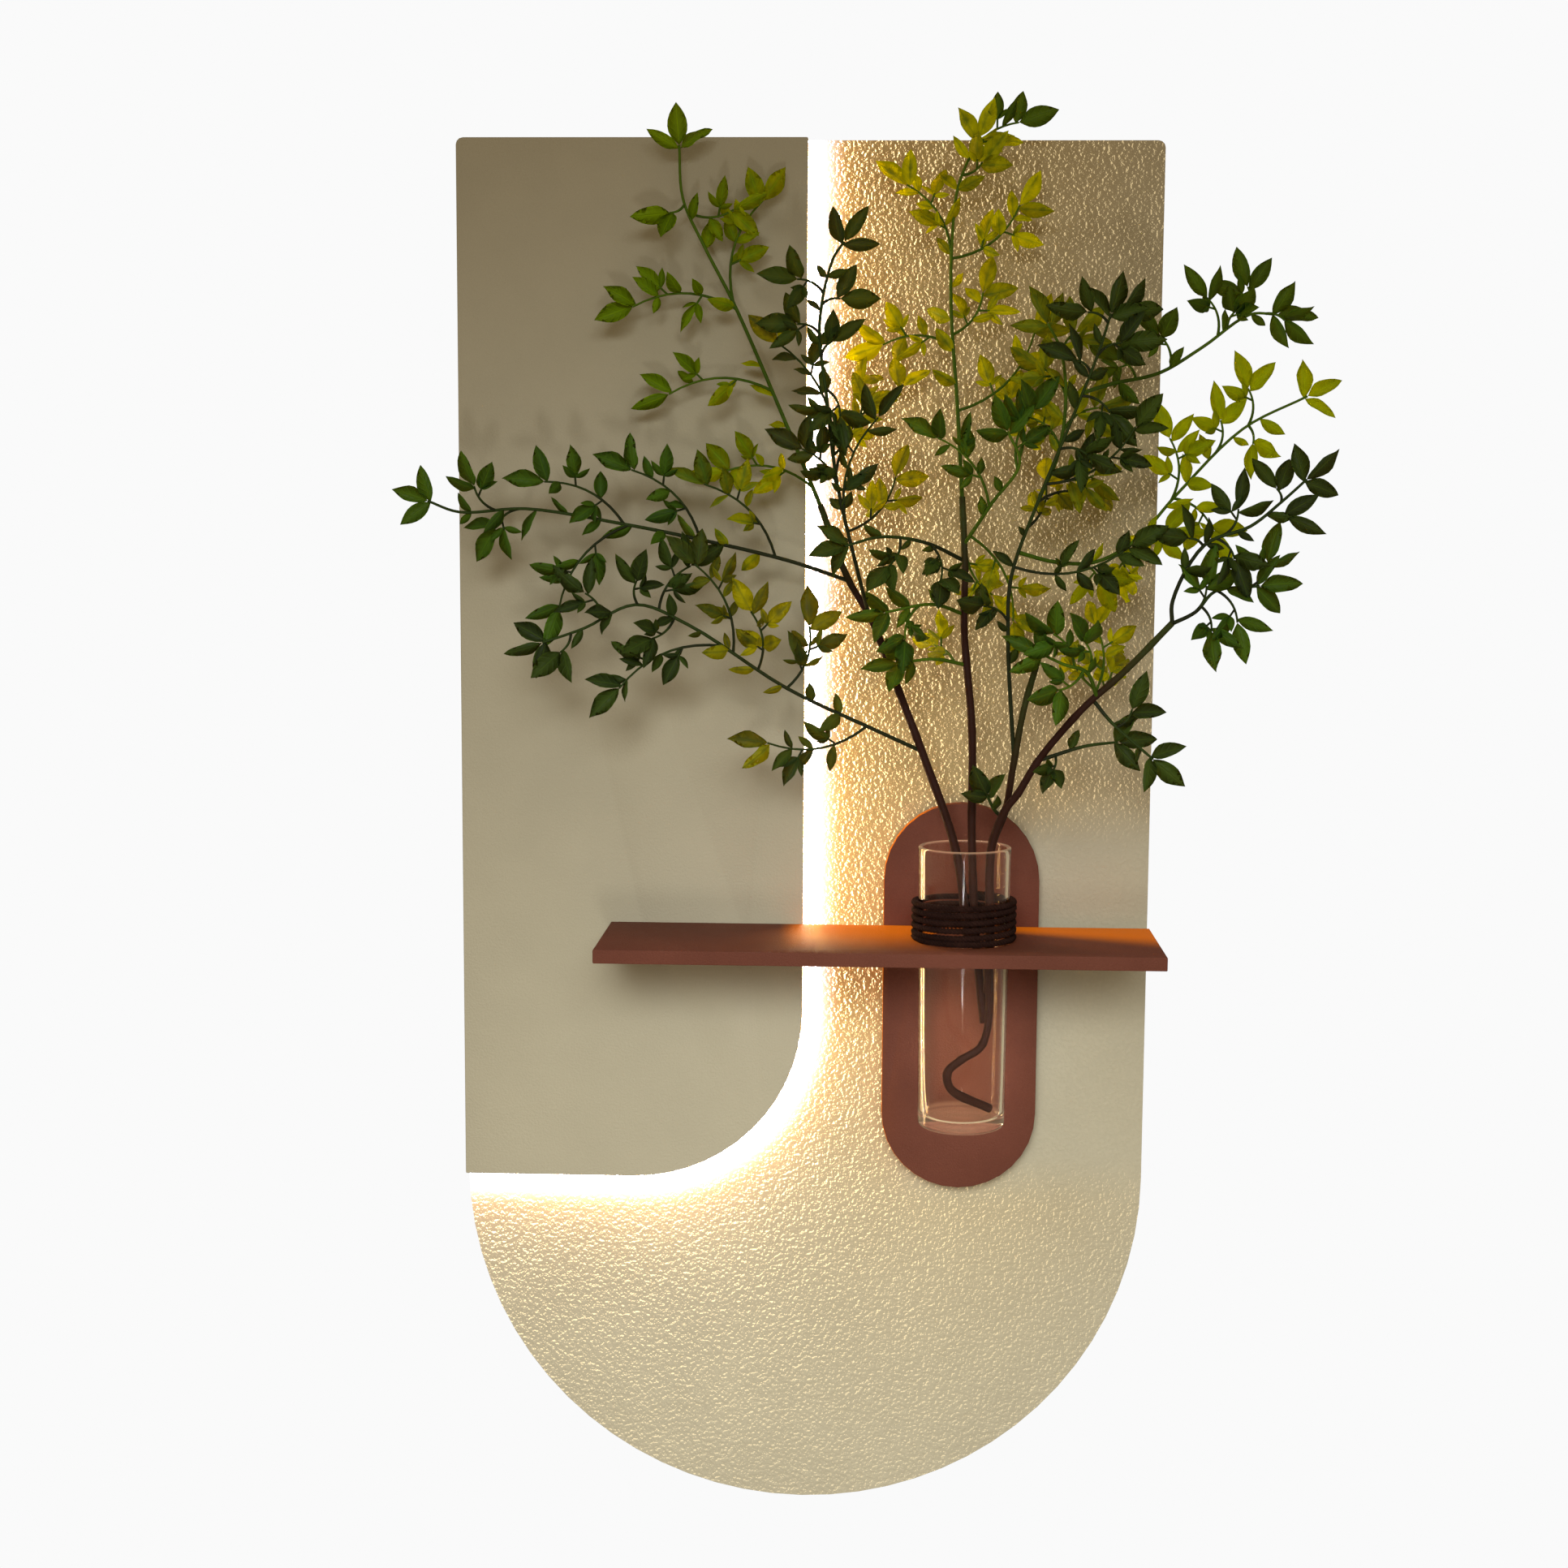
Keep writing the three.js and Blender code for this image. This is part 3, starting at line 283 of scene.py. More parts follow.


# The board's paint has small bumps. The tape's light they would catch on the side facing it is painted as
# emission:
# painted glints where the noise rises away from the panel's outline, a painted wash and core of light,
# painted warmth.

def texturedPaint(name, color, relief):
    material, graph = newMaterial(name)
    place = graph.place()
    peel = graph.noise(place, relief["grain"])
    cloud = graph.noise(place, 60, 3.0, 0.55)
    base = mottled(graph, (cloud * 0.6 + peel * 0.4).ramp(0.3, 0.7), color, relief["mottle"])
    axes = graph.axes(place)
    z = axes.other("Z")
    side = (axes - (panelBox[1].x - panelCorner * mm)).atLeast(0.0)
    down = ((panelBox[0].z + panelCorner * mm) - z).atLeast(0.0)
    far = ((side * side + down * down) ** 0.5).atLeast(mm)
    away = (far / mm - panelCorner).atLeast(relief["nearest"])  # from the panel's outline, in mm
    low = down / far  # 0 beside the panel, 1 below it
    step = graph.add("ShaderNodeCombineXYZ", None, {
        "X": side / far * (relief["step"] * mm),
        "Z": low * (-relief["step"] * mm),
    })
    ahead = graph.noise(graph.vectors("ADD", place, step), relief["grain"])
    fleck = (ahead - peel).ramp(*relief["rise"]) ** relief["sharp"]
    # painted glints of the tape's light on the bumps that face it, fading with distance
    sparkle = fleck * (relief["gain"] / away ** relief["fade"])
    # painted light: a wash of the tape's light, stronger below the panel, and a bright core along its edge
    lightWashShare = low * (relief["lowLightWash"] - relief["sideLightWash"]) + relief["sideLightWash"]
    paintedLightWash = lightWashShare / (away * away + relief["lightWashCore"])
    core = away.ramp(relief["nearest"], relief["core"], 1.0, 0.0)
    # painted shadow of the plate, where the tape's light would be blocked
    past = axes.ramp(pillBox[0].x, pillBox[0].x + 30 * mm)
    over = z.ramp(pillBox[0].z - 20 * mm, pillBox[0].z + 20 * mm)
    under = z.ramp(pillBox[1].z - 30 * mm, pillBox[1].z + 10 * mm, 1.0, 0.0)
    lightShare = 1 - past * (over * under)  # the plate's shadow
    front = faceAxes(graph).other("Y").ramp(-0.9, -0.5, 1.0, 0.0)
    bright = (sparkle + core * relief["coreShine"] + paintedLightWash) * lightShare * front
    shine = graph.mix(paintedLightWash / (paintedLightWash + sparkle), relief["shine"], relief["lightWashColor"])
    shine = graph.mix(core, shine, relief["coreColor"])
    # painted light: the base colour warms near the tape, fading with distance
    warm = away.ramp(30.0, 300.0, 1.0, 0.0) * (1 - low) * lightShare * front
    return finished(material, graph, principled(graph, {
        "Base Color": graph.mix(warm, base, relief["warm"]),
        "Roughness": peel.ramp(0.3, 0.7, 0.52, 0.64),
        "Specular IOR Level": 0.2,
        "Normal": graph.bump(peel.ramp(*relief["edge"]), relief["depth"]),
        "Emission Color": graph.scaled(shine, bright),
        "Emission Strength": 1.0,
    }))


def plain(name, color, roughness, grain, depth, metallic=0.0, stretch=(1, 1, 1), mottle=0.12):
    material, graph = newMaterial(name)
    specks = graph.noise(graph.place(stretch), grain, 3.0, 0.6)
    return finished(material, graph, principled(graph, {
        "Base Color": mottled(graph, specks.ramp(0.3, 0.7), color, mottle),
        "Metallic": metallic,
        "Roughness": specks.ramp(0.3, 0.7, roughness - 0.06, roughness + 0.06),
        "Normal": graph.bump(specks, depth),
    }))


def leafMaterial(name, dark, light, lit, through, throughShare):
    material, graph = newMaterial(name)
    along, across = graph.attribute("along"), abs(graph.attribute("across"))
    shade = graph.attribute("shade")
    cloud = graph.noise(graph.place(), 7, 3.0, 0.55)
    vein = (along * 34 - across * 9).sine().ramp(0.55, 1.0) * across.ramp(0.05, 0.2)
    rib = across.ramp(0.035, 0.1, 1.0, 0.0)
    green = graph.mix((shade * 0.65 + cloud * 0.5 - 0.1).ramp(0.1, 0.9), dark, light)
    # painted light: the tape's glow on leaves near it, in the base colour and as patchy emission
    lighted = graph.attribute("lit") * (across * 0.5 + cloud).ramp(0.3, 0.9, 0.2, 1.0)
    green = graph.mix(lighted, green, lit)
    # painted rim light: the outer part of each leaf lighter
    green = graph.mix(across.ramp(0.7, 1.0) * 0.7, green, tone(light, 1.8))
    patches = (cloud * 0.6 + shade * 0.4).ramp(0.3, 0.75, 0.15, 1.0)
    surface = principled(graph, {
        "Base Color": graph.mix(rib * 0.5 + vein * 0.14, green, tone(light, 1.5)),
        "Roughness": cloud.ramp(0.3, 0.7, 0.42, 0.6),
        "Specular IOR Level": 0.12,
        "Normal": graph.bump(vein * 0.5 + (1 - rib) * 0.8 + cloud * 0.2, 0.35),
        "Emission Color": graph.scaled(lit[:3], lighted * patches),
        "Emission Strength": 0.55,
    })
    shining = graph.add("ShaderNodeBsdfTranslucent", None, {"Color": through})
    share = throughShare + lighted * 0.4
    mixed = graph.add("ShaderNodeMixShader", None, {0: share, 1: surface, 2: shining})
    return finished(material, graph, mixed)


def barkMaterial(name, low, high, turn):
    material, graph = newMaterial(name)
    fibre = graph.noise(graph.place((1, 1, 0.35)), 1.6, 3.0, 0.6)
    ageing = (graph.attribute("along") + fibre * 0.16 - 0.08).ramp(turn - 0.12, turn + 0.12)
    base = graph.mix(ageing, low, high)
    return finished(material, graph, principled(graph, {
        "Base Color": graph.mix(fibre.ramp(0.35, 0.75) * 0.5, base, tone(low, 1.4)),
        "Specular IOR Level": 0.1,
        "Roughness": fibre.ramp(0.3, 0.7, 0.5, 0.75),
        "Normal": graph.bump(fibre, 0.35),
    }))


def ropeMaterial(name, color):
    material, graph = newMaterial(name)
    place = graph.place()
    fuzz = graph.noise(place, 0.5, 4.0, 0.7)
    patch = graph.noise(place, 9)
    shade = (fuzz * 0.7 + patch * 0.3).ramp(0.35, 0.7)
    return finished(material, graph, principled(graph, {
        "Base Color": graph.mix(shade, tone(color, 0.5), tone(color, 1.6)),
        "Roughness": 0.85,
        "Specular IOR Level": 0.06,
        "Normal": graph.bump(fuzz, 0.4),
    }))


# painted highlights: the rim's edge, the foot and the inner floor glow a little as emission
def glassMaterial(name, tint, edge):  # the edges of the rim, the foot and the floor shine a little
    material, graph = newMaterial(name)
    waves = graph.noise(graph.place((1, 1, 0.2)), 30, 1.0, 0.5)
    z = graph.axes(graph.place()).other("Z")
    low, high = (z - glassBox[0].z) / mm, (glassBox[1].z - z) / mm
    bright = high.ramp(0.2, 1.4, edge["rim"], 0.0) + low.ramp(0.2, 2.5, edge["foot"], 0.0)
    bright = bright + low.ramp(3.5, 5.5) * low.ramp(6.5, 9.0, edge["floor"], 0.0)
    return finished(material, graph, principled(graph, {
        "Base Color": tint,
        "Roughness": 0.0,
        "IOR": 1.22,
        "Transmission Weight": 1.0,
        "Normal": graph.bump(waves, 0.05),
        "Emission Color": graph.scaled(edge["color"], bright),
        "Emission Strength": 1.0,
    }))


def glowMaterial(name, color, strength):
    material, graph = newMaterial(name)
    return finished(material, graph, principled(graph, {
        "Base Color": color,
        "Roughness": 0.5,
        "Emission Color": color,
        "Emission Strength": strength,
    }))


# colours and strengths of the tape's light painted on the brown shelf and plate
paintedTapeLightOnBrown = {
    "color": (0.40, 0.088, 0.001), "base": (0.20, 0.045, 0.004, 1), "near": 0.95, "wedge": 0.95, "edge": 1.3,
}
glassPaintedHighlights = {"rim": 0.22, "foot": 0.05, "floor": 0.07, "color": (1.0, 0.62, 0.36)}
paint = {
    "sand": (0.50, 0.44, 0.30, 1),
    "brown": (0.160, 0.052, 0.031, 1),
    "raw": (0.42, 0.29, 0.17, 1),
    "pine": (0.56, 0.39, 0.21, 1),
}
finishes = {
    # the board's tape light is painted into its emission and base colour
    "board": texturedPaint("sandTexture", tone(paint["sand"], 1.06), {
        "grain": 1.9, "edge": (0.36, 0.64), "depth": 0.14, "mottle": 0.05, "nearest": 3.0,
        "step": 0.5, "rise": (0.01, 0.15), "sharp": 2.1, "gain": 190, "fade": 1.15,
        "sideLightWash": 140, "lowLightWash": 330, "lightWashCore": 100, "core": 24, "coreShine": 0.8,
        "shine": (1.0, 0.78, 0.42, 1), "lightWashColor": (1.0, 0.46, 0.15, 1), "coreColor": (0.75, 0.8, 0.95, 1),
        "warm": (0.54, 0.38, 0.15, 1),
    }),
    "panel": speckledPaint("sandSmooth", paint["sand"], 1.3, 0.10, 0.04, 0.15),
    "shelf": speckledPaint("brownShelf", paint["brown"], 0.9, 0.12, 0.12, 0.06, shelfGlow),
    "pill": speckledPaint("brownPlate", paint["brown"], 0.9, 0.12, 0.12, 0.06, pillGlow),
    "raw": plain("rawBoard", paint["raw"], 0.85, grain=0.8, depth=0.1),
    "pine": plain("pine", paint["pine"], 0.7, grain=2.2, depth=0.08, stretch=(0.06, 1, 1), mottle=0.22),
    "steel": plain("steel", (0.62, 0.62, 0.6, 1), 0.32, metallic=1.0, grain=1.2, depth=0.02),
    "plastic": plain("blackPlastic", (0.02, 0.02, 0.021, 1), 0.45, grain=0.5, depth=0.03),
    "rubber": plain("rubber", (0.035, 0.033, 0.03, 1), 0.85, grain=1.0, depth=0.06),
    "tape": glowMaterial("lightTape", (1.0, 0.74, 0.40, 1), 6.0),
    "glass": glassMaterial("clearGlass", (1.0, 0.955, 0.87, 1), glassPaintedHighlights),
    "rope": ropeMaterial("darkRope", (0.026, 0.0105, 0.007, 1)),
    "bark": barkMaterial("bark", (0.030, 0.0095, 0.0050, 1), (0.040, 0.055, 0.010, 1), 0.86),
    "twig": barkMaterial("twig", (0.055, 0.105, 0.006, 1), (0.09, 0.16, 0.008, 1), 0.5),
    "twigDark": barkMaterial("twigDark", (0.020, 0.024, 0.008, 1), (0.032, 0.055, 0.008, 1), 0.4),
}
# Tones of one leaf: partly the leaves' own greens, partly painted light and shade; the light and yellow ones
# stand for leaves lit by the tape near the board, the dark ones for leaves out of its light.
leafTones = {
    "leafDark": {
        "dark": (0.020, 0.036, 0.011, 1), "light": (0.052, 0.092, 0.011, 1),
        "lit": (0.60, 0.50, 0.001, 1), "through": (0.60, 0.56, 0.003, 1), "throughShare": 0.2,
    },
    "leafMid": {
        "dark": (0.026, 0.078, 0.009, 1), "light": (0.072, 0.165, 0.010, 1),
        "lit": (0.62, 0.53, 0.001, 1), "through": (0.64, 0.62, 0.003, 1), "throughShare": 0.26,
    },
    "leafLight": {
        "dark": (0.10, 0.21, 0.003, 1), "light": (0.23, 0.40, 0.003, 1),
        "lit": (0.64, 0.55, 0.001, 1), "through": (0.70, 0.68, 0.003, 1), "throughShare": 0.35,
    },
    "leafYellow": {
        "dark": (0.15, 0.25, 0.002, 1), "light": (0.32, 0.44, 0.002, 1),
        "lit": (0.68, 0.61, 0.001, 1), "through": (0.80, 0.78, 0.003, 1), "throughShare": 0.4,
    },
}
finishes.update({name: leafMaterial(name, **tones) for name, tones in leafTones.items()})
print("finishes made:", len(finishes))


# The camera, as the photograph's

cameraSet = {
    "place": (43.3, -1392.5, -116.9), "down": 6.669, "left": 2.352, "roll": 0.342,
    "lens": 54.14, "sensor": 36, "clip": (0.02, 60),
}


def makeCamera():
    down, left, roll = (math.radians(cameraSet[k]) for k in ("down", "left", "roll"))
    ahead = Vector((-math.sin(left) * math.cos(down), math.cos(left) * math.cos(down), -math.sin(down)))
    right = Vector((math.cos(left), math.sin(left), 0))
    up = right.cross(ahead)
    right, up = (
        math.cos(roll) * right + math.sin(roll) * up,
        math.cos(roll) * up - math.sin(roll) * right,
    )
    data = bpy.data.cameras.new("camera")
    data.lens = cameraSet["lens"]
    data.sensor_width = cameraSet["sensor"]
    data.clip_start, data.clip_end = cameraSet["clip"]
    scene.camera = linked("camera", data)
    aimed(scene.camera, Vector(cameraSet["place"]) * mm, right, up, -ahead)


makeCamera()
scene.view_settings.view_transform = "Standard"
# Stage, studio lights and the light of the tape

studio = {
    "background": 0.956,
    "ambient": (0.240, 0.182, 0.105),
    "glossyShare": 0.2,  # of the white that polished pieces mirror
    "floorDrop": 1450,
    "floorRadius": 1150,
    "spots": {
        "key": {
            "place": (-200, -2050, 300), "aim": (0, 0, -745), "cone": 38,
            "size": 400, "power": 136.0, "color": (0.86, 0.93, 1.0),
        },
        "fill": {
            "place": (420, -2050, 330), "aim": (0, 0, -745), "cone": 38,
            "size": 500, "power": 74.0, "color": (0.86, 0.93, 1.0),
        },
    },
    "strips": {
        "strip": {"place": (-12, -1480, -620), "size": (20, 170), "power": 1.1},
        "stripTwin": {"place": (50, -1480, -620), "size": (14, 170), "power": 0.7},
    },
}


def areaLamp(name, place, facing, along, size, power, color):
    data = bpy.data.lights.new(name, "AREA")
    data.shape = "RECTANGLE"
    data.size, data.size_y = (s * mm for s in size)
    data.energy = power
    data.color = color
    back = -facing.normalized()
    side = (along - along.dot(back) * back).normalized()
    aimed(linked(name, data), place, side, back.cross(side), back)


def makeLamps():
    for name, strip in studio["strips"].items():
        place = Vector(strip["place"]) * mm
        areaLamp(name, place, mouth * mm - place, Vector((1, 0, 0)), strip["size"], strip["power"], (1, 1, 1))
    for name, spot in studio["spots"].items():
        data = bpy.data.lights.new(name, "SPOT")
        data.energy = spot["power"]
        data.color = spot["color"]
        data.shadow_soft_size = spot["size"] * mm
        data.spot_size = math.radians(spot["cone"])
        data.spot_blend = 1.0
        lamp = linked(name, data)
        lamp.visible_transmission = False
        place, aim = Vector(spot["place"]) * mm, Vector(spot["aim"]) * mm
        turn = (aim - place).to_track_quat("-Z", "Y").to_matrix().to_4x4()
        lamp.matrix_world = Matrix.Translation(place) @ turn


def makeWorld():  # white to the camera, straight through glass and in a share of mirrored rays
    world = bpy.data.worlds.new("world")
    scene.world = world
    world.use_nodes = True
    world.node_tree.nodes.clear()
    graph = Graph(world.node_tree)
    path = graph.add("ShaderNodeLightPath")
    bent = path.other("Is Transmission Ray")
    mirrored = path.other("Glossy Depth").atMost(1.0)
    scattered = path.other("Diffuse Depth").atMost(1.0)
    glossy = path.other("Is Glossy Ray").atLeast(bent * mirrored) * studio["glossyShare"]
    straight = bent * (1 - mirrored) * (1 - scattered)
    white = (studio["background"],) * 3 + (1,)
    color = graph.mix(path.atLeast(glossy).atLeast(straight), (*studio["ambient"], 1), white)
    light = graph.add("ShaderNodeBackground", None, {"Color": color, "Strength": 1.0})
    graph.close("ShaderNodeOutputWorld", "Surface", light)


def makeFloor():
    mesh = bpy.data.meshes.new("floor")
    shape = bmesh.new()
    bmesh.ops.create_circle(shape, cap_ends=True, segments=64, radius=studio["floorRadius"] * mm)
    bmesh.ops.translate(shape, verts=shape.verts, vec=(0, 0, -studio["floorDrop"] * mm))
    shape.to_mesh(mesh)
    shape.free()
    floor = linked("floor", mesh)
    mesh.materials.append(plain("floorPaint", (0.86, 0.86, 0.85, 1), 0.8, grain=20, depth=0.02, mottle=0.01))


tapeLight = {
    "setback": 7.5,  # of the light from the panel's free edge
    "topGap": 6,
    "leftEnd": 26,
    "piece": 400,
    "arcs": 5,
    "height": 2.0,  # above the board's face
    "width": 3.0,
    "sidePower": 0.6,  # per metre, beside the panel and below it
    "lowPower": 1.0,
    "color": (1.0, 0.68, 0.26),
    "glowWidth": 10,  # the bright band of board beside the edge lights the leaves and the shelf
    "glowPerMetre": 0.42,
    "glowColor": (1.0, 0.58, 0.06),
}


def straightRun(start, end):  # the middles of its lamps and their length
    count = max(1, round(abs(end - start) / tapeLight["piece"]))
    step = (end - start) / count
    return [start + (i + 0.5) * step for i in range(count)], abs(step)


def makeTapeLight():
    low, high = (Vector(c) / mm for c in panelBox)
    depth = boardFace / mm - tapeLight["height"]
    inset, arcs = tapeLight["setback"], tapeLight["arcs"]
    centre = (high.x - panelCorner, low.z + panelCorner)
    bend = panelCorner - inset
    spots = []  # place and outward direction, in X and Z, and length
    heights, length = straightRun(high.z - tapeLight["topGap"], centre[1])
    spots += [((high.x - inset, z), (1, 0), length) for z in heights]
    for i in range(arcs):
        angle = -math.pi / 2 * (i + 0.5) / arcs
        out = (math.cos(angle), math.sin(angle))
        spots.append(((centre[0] + bend * out[0], centre[1] + bend * out[1]), out, bend * math.pi / 2 / arcs))
    sides, length = straightRun(low.x + tapeLight["leftEnd"], centre[0])
    spots += [((x, low.z + inset), (0, -1), length) for x in sides]
    for i, (spot, out, length) in enumerate(spots):
        place = Vector((spot[0], depth, spot[1])) * mm
        along = Vector((-out[1], 0, out[0]))
        outward = Vector((out[0], 0, out[1]))
        below = -out[1]  # 0 beside the panel, 1 below it
        power = (tapeLight["sidePower"] * (1 - below) + tapeLight["lowPower"] * below) * length * mm
        areaLamp(f"tape{i}", place, outward, along, (length, tapeLight["width"]), power, tapeLight["color"])
        place = place + outward * (inset + 1 + tapeLight["glowWidth"] / 2) * mm
        power = tapeLight["glowPerMetre"] * length * mm
        glow = (length, tapeLight["glowWidth"])
        areaLamp(f"glow{i}", place, toRoom, along, glow, power, tapeLight["glowColor"])


makeLamps()
makeWorld()
makeFloor()
makeTapeLight()
print("camera and lights placed")


# Geometry trees

def named(graph, name, kind="FLOAT"):
    return graph.add("GeometryNodeInputNamedAttribute", {"data_type": kind}, {"Name": name})


def newTree(name, inputs):
    tree = bpy.data.node_groups.new(name, "GeometryNodeTree")
    for label, kind in {"Geometry": "NodeSocketGeometry", **inputs}.items():
        tree.interface.new_socket(label, in_out="INPUT", socket_type=kind)
    tree.interface.new_socket("Geometry", in_out="OUTPUT", socket_type="NodeSocketGeometry")
    graph = Graph(tree)
    return graph, graph.add("NodeGroupInput")


def closeTree(graph, geometry):
    graph.close("NodeGroupOutput", "Geometry", geometry)
    return graph.tree


def joined(graph, wires):
    node = graph.tree.nodes.new("GeometryNodeJoinGeometry")
    for wire in wires:
        graph.tree.links.new(wire.socket, node.inputs[0])
    return Wire(graph, node.outputs[0])


def painted(graph, geometry, material, selection=True):
    inputs = {"Geometry": geometry, "Selection": selection, "Material": material}
    return graph.add("GeometryNodeSetMaterial", None, inputs)


def applyTree(piece, tree, inputs):
    modifier = piece.modifiers.new("build", "NODES")
    modifier.node_group = tree
    for item in tree.interface.items_tree:
        if item.in_out == "INPUT" and item.name in inputs:
            modifier[item.identifier] = inputs[item.name]
    settle(piece)


# Boards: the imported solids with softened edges

edgeSet = {"weld": 0.02, "flat": 0.6, "bevelFrom": 40, "sharpFrom": 34, "segments": 3}  # mm and degrees


def adopt(piece, body, node):
    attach(piece, body)
    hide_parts(node)


def softened(node, name, finish, width):
    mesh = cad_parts[node].data.copy()
    mesh.name = name
    flat = math.radians(edgeSet["flat"])
    shape = bmesh.new()
    shape.from_mesh(mesh)
    bmesh.ops.remove_doubles(shape, verts=shape.verts, dist=edgeSet["weld"] * mm)
    bmesh.ops.dissolve_limit(shape, angle_limit=flat, verts=shape.verts, edges=shape.edges)
    shape.to_mesh(mesh)
    shape.free()
    mesh.materials.clear()
    mesh.materials.append(finishes[finish])
    piece = linked(name, mesh)
    bevel = piece.modifiers.new("edge", "BEVEL")
    bevel.width = width * mm
    bevel.segments = edgeSet["segments"]
    bevel.limit_method = "ANGLE"
    bevel.angle_limit = math.radians(edgeSet["bevelFrom"])
    bevel.use_clamp_overlap = True
    settle(piece)
    piece.data.set_sharp_from_angle(angle=math.radians(edgeSet["sharpFrom"]))
    adopt(piece, "board", node)


softened("base_board", "baseBoard", "board", 0.8)
softened("front_panel", "frontPanel", "panel", 0.7)
softened("pill_plate", "pillPlate", "pill", 0.7)
softened("shelf", "shelfBoard", "shelf", 0.6)
print("boards softened")


cadFinishes = {
    "panel_spacer": "raw", "pill_spacer": "raw", "top_rail": "pine", "lower_rail": "pine",
    "wall_pad_left": "rubber", "wall_pad_right": "rubber", "led_tape": "tape", "inlet_block": "plastic",
    "dc_jack": "plastic", "jack_nut": "steel", "hanger_left": "steel", "hanger_right": "steel",
    "lead_clip_1": "plastic", "lead_clip_2": "plastic", "lead_clip_3": "plastic",
}
for node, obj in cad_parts.items():
    finish = "steel" if "screw" in node else cadFinishes.get(node)
    if finish:
        obj.data.materials.clear()
        obj.data.materials.append(finishes[finish])


# Plants: places are (side, reach, rise) from the middle of the glass's mouth

stems = {
    "stem_left": [
        (3.3, -7, -58), (-5, -8, -3), (-23, -10, 48), (-38, -12, 86), (-54, -16, 126), (-67, -18, 148),
        (-83, -22, 189),
    ],
    "stem_centre": [
        (12.5, -2.6, -101), (8, -6, -62), (4, -2, -1), (3, -1, 65), (-2, -4, 120), (-2, -8, 155),
        (-4, -12, 194),
    ],
    "stem_right": [
        (17, -6, -151.7), (-6, 4, -138), (-8, 6, -128), (-1, 6, -121), (10, 4, -114), (14, 2, -104),
        (15, 0, -63), (15, 0, -2), (22, 2, 20), (26, 8, 48), (31, 12, 79), (37, 14, 102),
    ],
    "stem_low": [
        (13.5, 4.5, -82), (14, 12, -47), (14, 13, 0), (21, 16, 22), (28, 18, 32), (39, 20, 51),
        (62, 26, 80), (84, 30, 101), (108, 34, 127),
    ],
}

# the leaf tones chosen per spray are partly painted light and shade, as told at leafTones
sprayLooks = {
    "dark": ("leafDark", "twigDark"), "mid": ("leafMid", "twig"), "midDark": ("leafMid", "twigDark"),
    "light": ("leafLight", "twig"), "yellow": ("leafYellow", "twig"),
}
